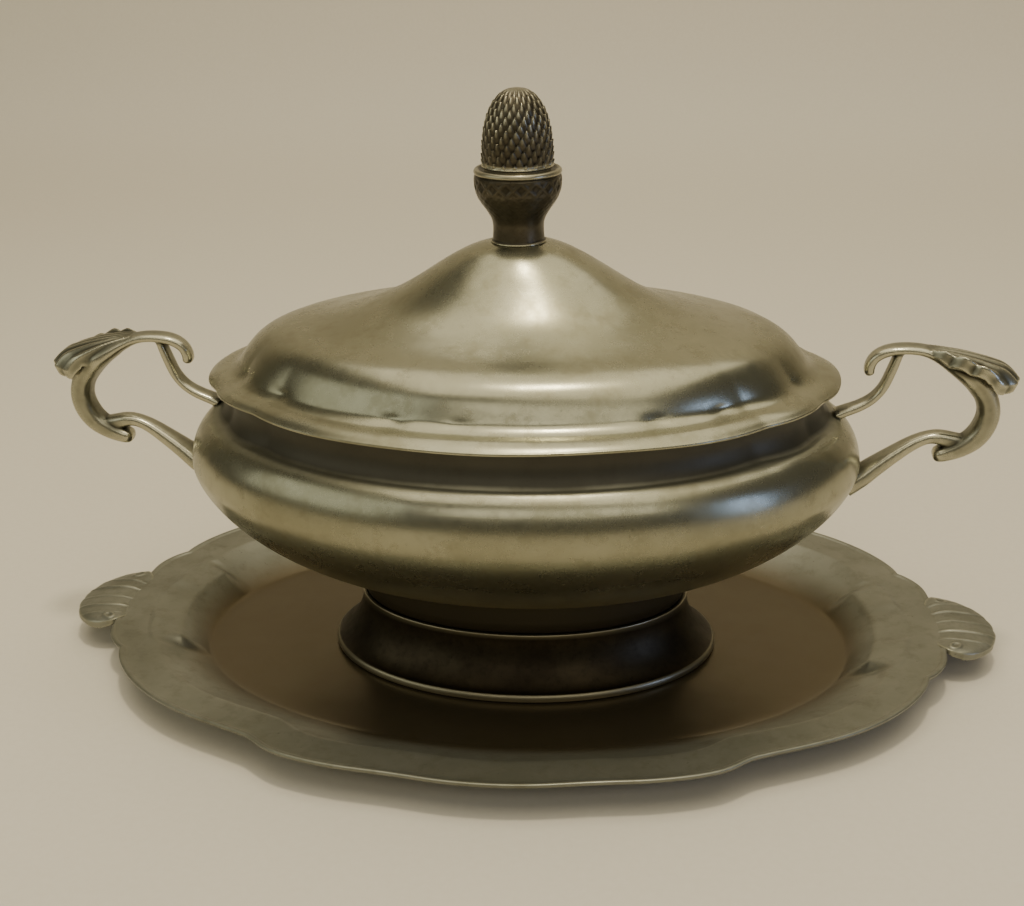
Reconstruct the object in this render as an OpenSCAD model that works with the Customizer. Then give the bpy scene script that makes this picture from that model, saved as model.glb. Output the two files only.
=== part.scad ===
// Oval pewter soup tureen on its stand: bombe bowl, domed lid with an acorn knob,
// two scroll handles, and a lobed dish with shell lugs. Millimetres, +Z up, +X along the handles.
// The origin is on the table, under the middle of the stand.

/* [Stand] */
// Length of the stand's oval, without its lugs
stand_length = 346; // [300:1:400]
// Width of the stand's oval
stand_width = 256; // [215:1:280]
// Length of the flat well
well_length = 264; // [220:1:280]
// Width of the flat well
well_width = 172; // [145:1:185]
// Height of the rim above the table
rim_height = 15; // [8:0.5:24]
// Height the border has reached where its flat outer band starts
border_height = 12.5; // [6:0.5:18]
// Width of the flat outer band
band_width = 16; // [5:0.5:22]
// Thickness of the stand's sheet
stand_sheet = 2; // [1.2:0.1:3]
// Depth of the notches between the stand's lobes
stand_dip = 4.2; // [1:0.1:7]
// How far the rolled edge stands above the rim
rolled_edge = 1.1; // [0.4:0.1:2]

/* [Stand lugs] */
// How far each shell lug reaches past the oval
lug_reach = 18; // [10:0.5:28]
// Width of the shell
lug_width = 46; // [28:1:52]
// Thickness of the shell at its root
lug_thick = 3; // [2:0.1:6]
// Number of ridges on the shell
lug_ridges = 5; // [3:1:9]
// Height of a shell ridge
lug_ridge = 0.8; // [0.3:0.1:2.5]
// How far the shell's tip bends down
lug_bend = 1.5; // [0:0.1:5]

/* [Foot] */
// Length of the foot at the stand
foot_length = 158; // [140:1:180]
// Width of the foot at the stand
foot_width = 111; // [98:1:128]
// Length of the foot where it meets the bowl
foot_top_length = 134; // [118:1:146]
// Height of the foot
foot_height = 23; // [14:0.5:34]
// Thickness of the flared edge
foot_edge = 3.2; // [2:0.1:5]
// Wall of the foot
foot_wall = 2.4; // [1.5:0.1:4]

/* [Bowl] */
// Length of the belly
belly_length = 264; // [240:1:290]
// Width of the belly
belly_width = 188; // [165:1:205]
// Height of the hollow collar between the foot and the bowl's underside
waist_height = 15; // [8:0.5:22]
// Height of the lower bowl, from its waist to the belly seam
belly_height = 45; // [36:1:56]
// Height of the shoulder, from the belly seam to the neck
shoulder_height = 19; // [12:0.5:26]
// Height of the neck above the shoulder
neck_height = 15; // [8:0.5:22]
// Length of the neck
neck_length = 235; // [215:1:245]
// Width of the neck
neck_width = 165; // [150:1:175]
// Depth of the notches between the lobes of the mouth and of the lid's flange
mouth_dip = 2.6; // [0:0.1:4]
// Wall of the bowl
bowl_wall = 2; // [1.2:0.1:3]

/* [Lid] */
// How far the flange reaches past the neck
lid_overhang = 5.5; // [4:0.5:9]
// How far the flange's lip droops over the neck
lip_droop = 2; // [0.5:0.1:4]
// Height of the dome's outer crest above the flange
crest_height = 19; // [14:0.5:26]
// Height of the dome's crown above the flange
crown_height = 49; // [44:0.5:60]
// Wall of the lid
lid_wall = 1.8; // [1.2:0.1:3]
// Depth of the locating ring below the flange
locating_depth = 8; // [4:0.5:12]
// Thickness of the locating ring
locating_wall = 1.6; // [1:0.1:3]
// How far the dome springs inside the locating ring
dome_set_in = 0.5; // [0.2:0.1:3]

/* [Knob] */
// Diameter of the stem
stem_d = 19.5; // [15:0.5:24]
// Height of the stem, to where the cup begins
stem_height = 13; // [8:0.5:20]
// Diameter of the acorn's cup
cup_d = 33; // [26:0.5:40]
// Height of the cup above its stem
cup_height = 15; // [11:0.5:20]
// Diameter of the scaled nut
nut_d = 27.5; // [20:0.5:30]
// Height of the scaled nut above the cup
nut_height = 29; // [24:0.5:40]
// Scales around the nut
scales_round = 18; // [12:1:24]
// Rows of scales
scale_rows = 12; // [8:1:16]
// How far a scale stands out
scale_rise = 1; // [0.3:0.1:1.6]
// Diameter of the stud that holds the knob
stud_d = 4; // [3:0.5:6]
// Thickness of the washer under the lid
washer_thick = 1; // [0.6:0.1:2]
// Diameter of the washer
washer_d = 12; // [9:0.5:16]
// Thickness of the nut under the washer
hex_thick = 3.2; // [2:0.1:5]
// Width of that nut across its flats
hex_flats = 7; // [6:0.5:10]

/* [Handles] */
// How far the leaf of a handle reaches from the middle of the tureen
handle_reach = 191; // [178:1:202]
// Height of the handle's arch above the bowl's mouth
handle_rise = 15; // [6:0.5:22]
// Height of a handle from its hook to the middle of its arch
handle_height = 47; // [40:0.5:54]
// Thickness of the grip
grip_thick = 8.5; // [6:0.5:10]
// Width of the grip
grip_width = 11; // [8:0.5:14]
// Thickness of the thin scrolls
scroll_thick = 4; // [3:0.5:6]
// Width of the shell leaf
leaf_width = 22; // [14:1:30]
// Height of the leaf's ridges
leaf_ridge = 1; // [0.3:0.1:2]
// Number of the leaf's ridges
leaf_ridges = 5; // [3:2:7]
// Height of the upper arm's seat below the neck
upper_seat = 2.5; // [2:0.5:6]
// Height of the lower arm's seat below the belly's seam
lower_seat = 11; // [8:0.5:22]

/* [Fits] */
// Gap between pieces that lift apart
rest_gap = 0.3; // [0.2:0.05:0.6]
// Gap left for solder between joined castings
solder_gap = 0.15; // [0.05:0.05:0.3]
// Gap between the lip and the neck
lip_play = 0.8; // [0.4:0.1:2]
// Play of the locating ring in the neck
locating_play = 1.2; // [0.8:0.1:3]
// Play of the stud in its holes
stud_play = 0.25; // [0.1:0.05:0.5]

/* [Hidden] */
$fn = 48;

// Sides of the lofted ovals, a multiple of 4 so that both axes have a corner
stand_sides = 120;
bowl_sides = 72;

// Notches in an edge, on each quarter of the oval: degrees from the long axis, share of the depth,
// spread in degrees towards the end and towards the middle, and how round the notch is
stand_notches = [[9, 0.5, 2.5, 4, 2], [21, 0.8, 3, 5, 1], [57, 1, 13, 5, 2], [78, 0.35, 6, 6, 2]];
mouth_notches = [[20, 0.7, 6, 6, 1.4], [40, 1, 7, 12, 1.2]];

// Heights of the stacked pieces
foot_z = stand_sheet + rest_gap;
bowl_z = foot_z + foot_height;
belly_z = bowl_z + waist_height;
seam_z = belly_z + belly_height;
neck_z = seam_z + shoulder_height;
mouth_z = neck_z + neck_height;
flange_z = mouth_z + rest_gap;
crown_z = flange_z + lid_wall + crown_height;
cup_z = crown_z + stem_height;
acorn_z = cup_z + cup_height;

// Fullness of the bowl's curves: 2 is an ellipse, less is slacker
belly_fullness = 1.55;
shoulder_fullness = 2;
bowl_steps = 6;
// How far the collar lies inside the foot's upper edge
waist_cove = 1.5;

stud_r = stud_d / 2;
stud_hole_r = stud_r + stud_play;

pewter = "#8f8b7c";
pewter_dark = "#5d564a";

function mix(a, b, u) = a + (b - a) * u;

// Folds an angle into the first quadrant of an oval
function folded(t) =
    let (half = abs(t > 180 ? t - 360 : t))
    half > 90 ? 180 - half : half;

// How far a lobed edge lies inside the plain oval
function lobe_dip(t, notches, dip) =
    let (
        q = folded(t),
        depths = [
            for (n = notches)
                n[1] * exp(-pow(abs(q - n[0]) / (q < n[0] ? n[2] : n[3]), n[4]))
        ]
    )
    dip == 0 ? 0 : dip * depths * [for (n = notches) 1];

// Point of an oval, moved inwards by an inset square to the oval
function oval_point(t, a, b, inset) =
    let (nx = b * cos(t), ny = a * sin(t), n = norm([nx, ny]))
    [a * cos(t) - inset * nx / n, b * sin(t) - inset * ny / n];

// One ring of a loft: semi-axes a and b, height z, and notches of a given depth
function oval_ring(sides, a, b, z, notches = [], dip = 0) = [
    for (i = [0 : sides - 1])
        let (t = 360 * i / sides, p = oval_point(t, a, b, lobe_dip(t, notches, dip)))
        [p[0], p[1], z]
];

// Skins a list of rings that all have the same even number of points, counter-clockwise seen
// from the end they run to. A looped loft closes on its first ring, any other has its ends filled.
module loft(rings, looped = false) {
    sides = len(rings[0]);
    count = len(rings);
    last = looped ? count - 1 : count - 2;
    side_faces = [
        for (k = [0 : last], i = [0 : sides - 1], half = [0, 1])
            let (
                low = sides * k,
                high = sides * ((k + 1) % count),
                j = (i + 1) % sides
            )
            half == 0 ? [low + i, high + i, high + j] : [low + i, high + j, low + j]
    ];
    top = sides * (count - 1);
    end_faces = looped ? [] : [
        for (i = [0 : sides / 2 - 2], half = [0, 1])
            let (far = sides - 1 - i)
            each half == 0 ?
                [[i, i + 1, far - 1], [top + far - 1, top + i + 1, top + i]] :
                [[i, far - 1, far], [top + far, top + far - 1, top + i]]
    ];
    polyhedron([for (r = rings) each r], concat(side_faces, end_faces));
}

// Point at share u on the smooth curve through stations p[i] to p[i + 1]
function curve_point(p, i, u) =
    let (
        before = p[max(i - 1, 0)],
        after = p[min(i + 2, len(p) - 1)],
        from = p[i],
        to = p[i + 1]
    )
    0.5 * (2 * from + (to - before) * u + (2 * before - 5 * from + 4 * to - after) * u * u
        + (3 * from - before - 3 * to + after) * u * u * u);

// All the points of the smooth curve through the stations
function curve(p, steps) = [
    for (i = [0 : len(p) - 2], k = [0 : steps - 1]) curve_point(p, i, k / steps),
    p[len(p) - 1]
];

// Quarter of a superellipse from (0, 0) to (1, 1): how far out, and how far up
function quarter(angle, fullness) =
    [pow(sin(angle), 2 / fullness), 1 - pow(cos(angle), 2 / fullness)];

// The stand. Rings run out along the underside to the edge and back over the top.

function stand_ring(a, b, z, lobes) =
    oval_ring(stand_sides, a, b, z, stand_notches, stand_dip * lobes);

module stand_plate() {
    edge_a = stand_length / 2;
    edge_b = stand_width / 2;
    well_a = well_length / 2;
    well_b = well_width / 2;
    band_a = edge_a - band_width;
    band_b = edge_b - band_width;
    // The border climbs from the well to the band on a curve, steep first
    rise = [[0, 0], [0.1, 0.18], [0.35, 0.58], [0.7, 0.88]];
    border = function(share, up, under) stand_ring(
        mix(well_a, band_a, share), mix(well_b, band_b, share),
        stand_sheet - under + (border_height - stand_sheet) * up, share * share
    );
    edge = function(inset, z) stand_ring(edge_a - inset, edge_b - inset, z, 1);
    under_z = rim_height - rolled_edge;
    color(pewter)
        loft([
            border(rise[0][0], rise[0][1], stand_sheet),
            border(rise[2][0], rise[2][1], stand_sheet),
            edge(band_width, border_height - stand_sheet),
            edge(rolled_edge, under_z - stand_sheet),
            edge(0, under_z),
            edge(rolled_edge, rim_height),
            edge(2 * rolled_edge, under_z),
            edge(band_width, border_height),
            for (k = [len(rise) - 1 : -1 : 0]) border(rise[k][0], rise[k][1], 0)
        ]);
}

// A shell lug: ridges fan out from a root that follows the stand's end
module shell_lug() {
    across = 2 * lug_ridges;
    out = 4;
    half = lug_width / 2;
    edge_a = stand_length / 2;
    edge_b = stand_width / 2;
    root_z = rim_height - rolled_edge - stand_sheet;
    // Where the stand's edge lies at this distance from the long axis
    edge_x = function(y)
        let (t = asin(y / edge_b))
        oval_point(t, edge_a, edge_b, lobe_dip(t, stand_notches, stand_dip))[0] + solder_gap;
    shell_x = function(v, u)
        let (
            y = v * half * 0.8,
            fan = lug_reach * pow(1 - 0.9 * v * v, 0.5),
            scallop = 1 - 0.07 * (1 - abs(cos(90 * lug_ridges * (v + 1))))
        )
        mix(edge_x(y), edge_a + fan * scallop, u);
    shell_y = function(v, u) v * half * mix(0.8, 1, sin(90 * u));
    // Height of the ridges, and how far the shell bends down towards its tip
    ridge = function(v, u)
        lug_ridge * abs(cos(90 * lug_ridges * (v + 1))) * sin(180 * mix(0.15, 0.85, u));
    bend = function(u) lug_bend * u * u;
    top_z = function(v, u) root_z + lug_thick * mix(0.75, 0.5, u) + ridge(v, u) - bend(u);
    under_z = function(u) root_z - lug_thick * mix(0.25, 0.1, u) - bend(u);
    top = [
        for (k = [0 : out])
            [for (i = [0 : across])
                let (u = k / out, v = 1 - 2 * i / across)
                [shell_x(v, u), shell_y(v, u), top_z(v, u)]]
    ];
    under = [
        for (k = [0 : out])
            [for (i = [across : -1 : 0])
                let (u = k / out, v = 1 - 2 * i / across)
                [shell_x(v, u), shell_y(v, u), under_z(u)]]
    ];
    color(pewter)
        loft([for (k = [0 : out]) concat(top[k], under[k])]);
}

module stand_lug_right() {
    shell_lug();
}

module stand_lug_left() {
    rotate(180)
        shell_lug();
}

// The foot: a flared edge, a hollow curve up to the bowl, open below

function foot_ring_at(inset, z) =
    oval_ring(bowl_sides, foot_length / 2 - inset, foot_width / 2 - inset, z);

module foot_ring() {
    waist = (foot_length - foot_top_length) / 2;
    top_z = foot_z + foot_height;
    edge_z = foot_z + foot_edge;
    cove = foot_height - foot_edge;
    rounding = foot_edge / 4;
    color(pewter_dark)
        loft([
            foot_ring_at(rounding / 2, foot_z),
            foot_ring_at(0, foot_z + foot_edge * 0.4),
            foot_ring_at(rounding, edge_z),
            foot_ring_at(waist * 0.35, edge_z + cove * 0.08),
            foot_ring_at(waist * 0.75, edge_z + cove * 0.35),
            foot_ring_at(waist, edge_z + cove * 0.75),
            foot_ring_at(waist, top_z),
            foot_ring_at(waist + foot_wall, top_z),
            foot_ring_at(waist + foot_wall, edge_z + cove * 0.6),
            foot_ring_at(waist * 0.35 + foot_wall, foot_z)
        ], looped = true);
}

// The bowl's outside, as semi-axes at a share of the curve. Also used to seat the handles.

bowl_foot_a = foot_top_length / 2;
bowl_foot_b = foot_width / 2 - (foot_length - foot_top_length) / 2;
belly_a = belly_length / 2;
belly_b = belly_width / 2;
neck_a = neck_length / 2;
neck_b = neck_width / 2;

function lower_ring(angle, wall) =
    let (q = quarter(angle, belly_fullness))
    oval_ring(
        bowl_sides,
        mix(bowl_foot_a, belly_a, q[0]) - wall, mix(bowl_foot_b, belly_b, q[0]) - wall,
        mix(belly_z + wall, seam_z, q[1])
    );

// The collar under the bowl, at a share of its height and a distance inside its outer face
function waist_ring(share, wall) =
    let (inset = waist_cove + wall)
    oval_ring(bowl_sides, bowl_foot_a - inset, bowl_foot_b - inset, bowl_z + waist_height * share);

function upper_ring(angle, wall) =
    let (q = quarter(angle, shoulder_fullness))
    oval_ring(
        bowl_sides,
        mix(neck_a, belly_a, 1 - q[1]) - wall, mix(neck_b, belly_b, 1 - q[1]) - wall,
        mix(seam_z, neck_z - wall, q[0]), mouth_notches, mouth_dip * pow(q[1], 2)
    );

module bowl_lower() {
    color(pewter)
        loft([
            waist_ring(1, bowl_wall),
            waist_ring(0, bowl_wall),
            waist_ring(0, 0),
            waist_ring(0.6, 0),
            for (k = [0 : bowl_steps]) lower_ring(90 * k / bowl_steps, 0),
            for (k = [bowl_steps : -2 : 0]) lower_ring(90 * k / bowl_steps, bowl_wall)
        ]);
}

module bowl_upper() {
    neck_ring = function(inset, z)
        oval_ring(bowl_sides, neck_a - inset, neck_b - inset, z, mouth_notches, mouth_dip);
    color(pewter)
        loft([
            for (k = [0 : bowl_steps]) upper_ring(90 * k / bowl_steps, 0),
            neck_ring(0, mouth_z),
            neck_ring(bowl_wall, mouth_z),
            for (k = [bowl_steps : -2 : 0]) upper_ring(90 * k / bowl_steps, bowl_wall)
        ], looped = true);
}

// Outside of the bowl at height z: the share of the way from the foot, or the neck, to the belly
function lower_share(z) =
    let (up = (z - belly_z) / belly_height)
    pow(max(0, 1 - pow(1 - up, belly_fullness)), 1 / belly_fullness);
function upper_share(z) =
    let (up = (z - seam_z) / shoulder_height)
    pow(max(0, 1 - pow(up, shoulder_fullness)), 1 / shoulder_fullness);
function bowl_semi(z, foot_semi, belly_semi, neck_semi) =
    z < seam_z ? mix(foot_semi, belly_semi, lower_share(z)) : mix(neck_semi, belly_semi, upper_share(z));

// Distance of the bowl's outside from the YZ plane, at a place (y, z) near its end
function bowl_end(y, z) =
    let (
        a = bowl_semi(z, bowl_foot_a, belly_a, neck_a),
        b = bowl_semi(z, bowl_foot_b, belly_b, neck_b)
    )
    a * sqrt(1 - pow(y / b, 2));

// A handle is drawn in the XZ plane. A stroke is a list of stations: how far out the station lies,
// from the belly's end (0) to the leaf's tip (1), how high, from the hook (0) to the arch (1),
// then the stroke's thickness and width there.

stroke_sides = 8;
// Shape of a stroke's section: 1 is an ellipse, less is squarer
stroke_shape = 0.8;

// Section of a stroke at one station, square to the way it runs
function stroke_ring(here, before, after) =
    let (
        run = [after[0] - before[0], after[1] - before[1]],
        side = [run[1], -run[0]] / norm(run)
    )
    [for (i = [0 : stroke_sides - 1])
        let (
            t = 360 * (i + 0.5) / stroke_sides,
            n = sign(cos(t)) * pow(abs(cos(t)), stroke_shape) * here[2] / 2,
            w = sign(sin(t)) * pow(abs(sin(t)), stroke_shape) * here[3] / 2
        )
        [here[0] + side[0] * n, w, here[1] + side[1] * n]];

function stroke_rings(stations, steps) =
    let (c = curve(stations, steps), last = len(c) - 1)
    [for (i = [0 : last]) stroke_ring(c[i], c[max(i - 1, 0)], c[min(i + 1, last)])];

// The ring of a stroke's end, laid on the bowl with a gap for solder
function seated(ring) = [for (p = ring) [bowl_end(p[1], p[2]) + solder_gap, p[1], p[2]]];

// Any other ring, kept clear of the bowl by the same gap
function cleared(ring) = [for (p = ring) [max(p[0], bowl_end(p[1], p[2]) + solder_gap), p[1], p[2]]];

arch_z = mouth_z + handle_rise - scroll_thick / 2;

function handle_x(out) = mix(belly_a, handle_reach, out);
function handle_z(up) = arch_z - handle_height * (1 - up);
function placed(stations) = [for (s = stations) [handle_x(s[0]), handle_z(s[1]), s[2], s[3]]];

module handle() {
    arm_width = grip_width * 0.65;
    // From the curl by the bowl, over the arch, under the leaf and down the grip to the hook
    scroll = placed([
        [0.03, 0.79, scroll_thick, arm_width * 0.9],
        [0.075, 0.9, scroll_thick, arm_width],
        [0.16, 0.975, scroll_thick * 0.95, grip_width * 0.75],
        [0.28, 1, scroll_thick * 0.85, grip_width * 0.8],
        [0.39, 0.985, scroll_thick * 0.85, grip_width * 0.85],
        [0.49, 0.925, scroll_thick, grip_width * 0.95],
        [0.575, 0.85, scroll_thick * 1.3, grip_width],
        [0.66, 0.765, grip_thick * 0.75, grip_width],
        [0.735, 0.665, grip_thick * 0.92, grip_width],
        [0.785, 0.55, grip_thick, grip_width],
        [0.8, 0.43, grip_thick, grip_width],
        [0.78, 0.31, grip_thick, grip_width],
        [0.725, 0.205, grip_thick * 0.97, grip_width * 0.95],
        [0.645, 0.13, grip_thick * 0.88, grip_width * 0.9],
        [0.56, 0.08, grip_thick * 0.75, grip_width * 0.85],
        [0.47, 0.045, grip_thick * 0.62, grip_width * 0.8]
    ]);
    // From the shoulder in an S up to the underside of the arch
    upper_z = neck_z - upper_seat;
    upper_arm = concat([[bowl_end(0, upper_z), upper_z, scroll_thick, grip_width * 0.8]], placed([
        [-0.07, 0.47, scroll_thick, arm_width * 1.1],
        [0, 0.555, scroll_thick * 0.95, arm_width],
        [0.075, 0.61, scroll_thick * 0.9, arm_width],
        [0.14, 0.685, scroll_thick * 0.9, arm_width],
        [0.185, 0.79, scroll_thick * 0.9, arm_width],
        [0.225, 0.955, scroll_thick * 0.8, arm_width]
    ]));
    // From the grip, over its small bump and down to a leaf on the belly
    lower_z = seam_z - lower_seat;
    lower_arm = concat(placed([
        [0.67, 0.165, scroll_thick, arm_width],
        [0.58, 0.215, scroll_thick, arm_width],
        [0.49, 0.245, scroll_thick, arm_width],
        [0.41, 0.235, scroll_thick, arm_width],
        [0.33, 0.175, scroll_thick * 1.05, arm_width * 1.05],
        [0.23, 0.07, scroll_thick * 1.15, grip_width * 0.8],
        [0.11, -0.06, scroll_thick * 1.35, grip_width],
        [0.02, -0.15, scroll_thick * 1.6, grip_width * 1.2]
    ]), [[bowl_end(0, lower_z), lower_z, scroll_thick * 2, grip_width * 1.4]]);
    upper_rings = stroke_rings(upper_arm, 2);
    lower_rings = stroke_rings(lower_arm, 2);
    last = len(lower_rings) - 1;
    color(pewter) {
        loft(stroke_rings(scroll, 2));
        loft([seated(upper_rings[0]), for (k = [1 : len(upper_rings) - 1]) cleared(upper_rings[k])]);
        loft([for (k = [0 : last - 1]) cleared(lower_rings[k]), seated(lower_rings[last])]);
        thumb_shell();
    }
}

// The shell leaf on the handle's outer corner, ridged along its length and curled at its tip
module thumb_shell() {
    across = 2 * leaf_ridges;
    out = 4;
    from = [handle_x(0.43), handle_z(0.995)];
    to = [handle_x(1), handle_z(0.735)];
    hump = scroll_thick * 0.3;
    droop = scroll_thick * 0.7;
    thick = scroll_thick * 0.75;
    place = function(v, u)
        let (
            reach = u * (1 - 0.14 * v * v),
            wide = leaf_width / 2 * mix(0.36, 1, sin(90 * u)),
            ridge = leaf_ridge * abs(cos(90 * leaf_ridges * (v + 1))) * sin(180 * mix(0.2, 0.8, u))
        )
        [
            mix(from[0], to[0], reach), v * wide,
            mix(from[1], to[1], reach) + hump * sin(180 * u) + ridge - droop * u * v * v
        ];
    // Each ring runs over the top and back along the underside
    rings = [
        for (k = [0 : out])
            let (top = [for (i = [0 : across]) place(1 - 2 * i / across, k / out)])
            concat(top, [for (i = [across : -1 : 0]) top[i] - [thick / 2, 0, thick]])
    ];
    loft(rings);
}

module handle_right() {
    handle();
}

module handle_left() {
    rotate(180)
        handle();
}

// The lid: a lobed flange with a drooping lip, and a dome whose semi-axes shrink from the flange's
// oval to the round seat of the knob. A plain oval ring under the flange drops into the neck.

lid_a = neck_a + lid_overhang;
lid_b = neck_b + lid_overhang;
locating_inset = bowl_wall + mouth_dip + locating_play;
dome_inset = locating_inset + locating_wall + dome_set_in - lid_wall;
dome_a = neck_a - dome_inset;
dome_b = neck_b - dome_inset;
seat_margin = 2;
crown_r = stem_d / 2 + seat_margin;

// How quickly the flange's notches fade up the dome
notch_fade = 14;

// Dome's outside: share of the way in from the flange (0) to the crown (1), and height
dome_profile = [
    [0, 0], [0.025, crest_height * 0.31], [0.06, crest_height * 0.6], [0.11, crest_height * 0.82],
    [0.185, crest_height * 0.94], [0.31, crest_height * 1.03],
    [0.43, mix(crest_height, crown_height, 0.1)], [0.555, mix(crest_height, crown_height, 0.22)],
    [0.65, mix(crest_height, crown_height, 0.35)], [0.735, mix(crest_height, crown_height, 0.5)],
    [0.82, mix(crest_height, crown_height, 0.665)], [0.9, mix(crest_height, crown_height, 0.82)],
    [1, crown_height]
];

function dome_ring(share, z, wall) =
    oval_ring(
        bowl_sides,
        mix(dome_a, crown_r, share) - wall, mix(dome_b, crown_r, share) - wall,
        z, mouth_notches, mouth_dip * pow(1 - share, notch_fade)
    );

function flange_ring(inset, z) =
    oval_ring(bowl_sides, lid_a - inset, lid_b - inset, z, mouth_notches, mouth_dip);

function hole_ring(z) = oval_ring(bowl_sides, stud_hole_r, stud_hole_r, z);

module lid_cover() {
    top_z = flange_z + lid_wall;
    lip_z = flange_z - lip_droop;
    lip_width = lid_overhang - lip_play;
    edge = lid_wall / 3;
    count = len(dome_profile);
    color(pewter)
        loft([
            flange_ring(edge, lip_z),
            flange_ring(0, lip_z + edge),
            flange_ring(edge, lip_z + lid_wall),
            flange_ring(lip_width, top_z),
            for (p = dome_profile) dome_ring(p[0], top_z + p[1], 0),
            hole_ring(crown_z),
            hole_ring(crown_z - lid_wall),
            for (k = [count - 1 : -2 : 0])
                dome_ring(dome_profile[k][0], flange_z + dome_profile[k][1], lid_wall),
            flange_ring(lip_width, flange_z)
        ], looped = true);
}

module lid_locating_ring() {
    ring = function(wall, z)
        let (inset = locating_inset + wall)
        oval_ring(bowl_sides, neck_a - inset, neck_b - inset, z);
    color(pewter)
        loft([
            ring(0, flange_z - locating_depth),
            ring(0, flange_z),
            ring(locating_wall, flange_z),
            ring(locating_wall, flange_z - locating_depth)
        ], looped = true);
}

// The knob: a turned stem and cup, a scaled nut, and the stud that holds both to the lid

socket_depth = 3;
socket_ledge = 0.5;
socket_r = nut_d / 2 - socket_ledge;
stud_reach = stem_height * 0.8;
// How far a cutter runs past the face that it cuts
cut_past = 1;

module finial_cup() {
    stem_r = stem_d / 2;
    cup_r = cup_d / 2;
    waist_r = stem_r * 0.95;
    foot = 0.8;
    rim = 2.4;
    // The cup leaves the stem in a hollow curve and swells to its rim
    cup_steps = 8;
    cup_curve = [
        for (k = [0 : cup_steps])
            let (up = k / cup_steps)
            [mix(waist_r, cup_r, sin(90 * pow(up, 1.25))), cup_z + (cup_height - rim) * up]
    ];
    color(pewter_dark)
        difference() {
            rotate_extrude()
                polygon(concat(
                    [[0, crown_z], [stem_r + foot, crown_z], [stem_r + foot, crown_z + foot]],
                    [[stem_r, crown_z + 2 * foot], [waist_r, crown_z + stem_height * 0.6]],
                    cup_curve,
                    [[cup_r - rim / 4, acorn_z - rim / 3], [cup_r - rim * 2 / 3, acorn_z], [0, acorn_z]]
                ));
            translate([0, 0, acorn_z - socket_depth])
                cylinder(r = socket_r, h = 2 * socket_depth);
            translate([0, 0, crown_z - cut_past])
                cylinder(r = stud_r + solder_gap, h = stud_reach + cut_past);
        }
}

// Fullness of the nut's sides: 2 is half an ellipse, more is straighter below
nut_fullness = 2.8;

// Radius of the scaled nut, under its scales, at a share of its height
function acorn_r(u) = (nut_d / 2 - scale_rise) * sqrt(1 - pow(u, nut_fullness));

module finial_acorn() {
    rings = scale_rows + 1;
    tip = 0.97;
    spot = function(row, turn, rise)
        let (u = tip * row / rings, r = acorn_r(u) + rise, t = 360 * turn / scales_round)
        [r * cos(t), r * sin(t), acorn_z + nut_height * u];
    // Corners of the lattice, every other ring turned by half a scale
    corners = [
        for (k = [0 : rings], i = [0 : scales_round - 1]) spot(k, i + (k % 2) / 2, 0)
    ];
    // A raised point in the middle of each scale, nearer to its upper end
    peaks = [
        for (k = [1 : rings - 1], i = [0 : scales_round - 1])
            spot(k + 0.25, i + 0.5 + (k % 2) / 2, scale_rise * (1 - 0.5 * k / rings))
    ];
    corner_id = function(k, i) k * scales_round + (i + scales_round) % scales_round;
    peak_id = function(k, i) len(corners) + (k - 1) * scales_round + i;
    scale_faces = [
        for (k = [1 : rings - 1], i = [0 : scales_round - 1])
            let (
                middle = i + k % 2,
                around = [
                    corner_id(k - 1, middle), corner_id(k, i + 1),
                    corner_id(k + 1, middle), corner_id(k, i)
                ]
            )
            for (e = [0 : 3]) [around[(e + 1) % 4], around[e], peak_id(k, i)]
    ];
    low_faces = [
        for (i = [0 : scales_round - 1]) [corner_id(0, i), corner_id(1, i), corner_id(0, i + 1)]
    ];
    high_faces = [
        for (i = [0 : scales_round - 1])
            let (s = rings % 2)
            [corner_id(rings, i), corner_id(rings, i + 1), corner_id(rings - 1, i + s)]
    ];
    color(pewter_dark) {
        polyhedron(
            concat(corners, peaks),
            concat(
                scale_faces, low_faces, high_faces,
                [[for (i = [0 : scales_round - 1]) corner_id(0, i)]],
                [[for (i = [scales_round - 1 : -1 : 0]) corner_id(rings, i)]]
            )
        );
        translate([0, 0, acorn_z - socket_depth + solder_gap])
            cylinder(r = socket_r - solder_gap, h = socket_depth - solder_gap);
    }
}

washer_z = crown_z - lid_wall - washer_thick;
hex_z = washer_z - hex_thick;

module finial_stud() {
    below = 2;
    color("#77705f")
        translate([0, 0, hex_z - below])
            cylinder(r = stud_r, h = crown_z + stud_reach - solder_gap - hex_z + below);
}

module finial_washer() {
    color("#8d8672")
        difference() {
            translate([0, 0, washer_z])
                cylinder(d = washer_d, h = washer_thick);
            translate([0, 0, washer_z - cut_past])
                cylinder(r = stud_hole_r, h = washer_thick + 2 * cut_past);
        }
}

module finial_nut() {
    color("#8d8672")
        difference() {
            translate([0, 0, hex_z])
                cylinder(d = hex_flats / cos(30), h = hex_thick, $fn = 6);
            translate([0, 0, hex_z - cut_past])
                cylinder(r = stud_r + solder_gap, h = hex_thick + 2 * cut_past);
        }
}

stand_plate();
stand_lug_left();
stand_lug_right();
foot_ring();
bowl_lower();
bowl_upper();
handle_left();
handle_right();
lid_cover();
lid_locating_ring();
finial_cup();
finial_acorn();
finial_stud();
finial_washer();
finial_nut();
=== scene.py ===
# %% [markdown]
# # A pewter soup tureen on its stand
# An old oval tureen: a bowl with two cast scroll handles, a domed lid with an acorn knob, and a
# lobed dish under it with a ribbed lug at each end. The packed solids give every piece its place
# and its moving body. Here each piece that shows is built again with a finer skin, and all of them
# get a finish.

# %% Frame
import math

import bpy
import numpy as np
from mathutils import Matrix, Vector


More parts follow.
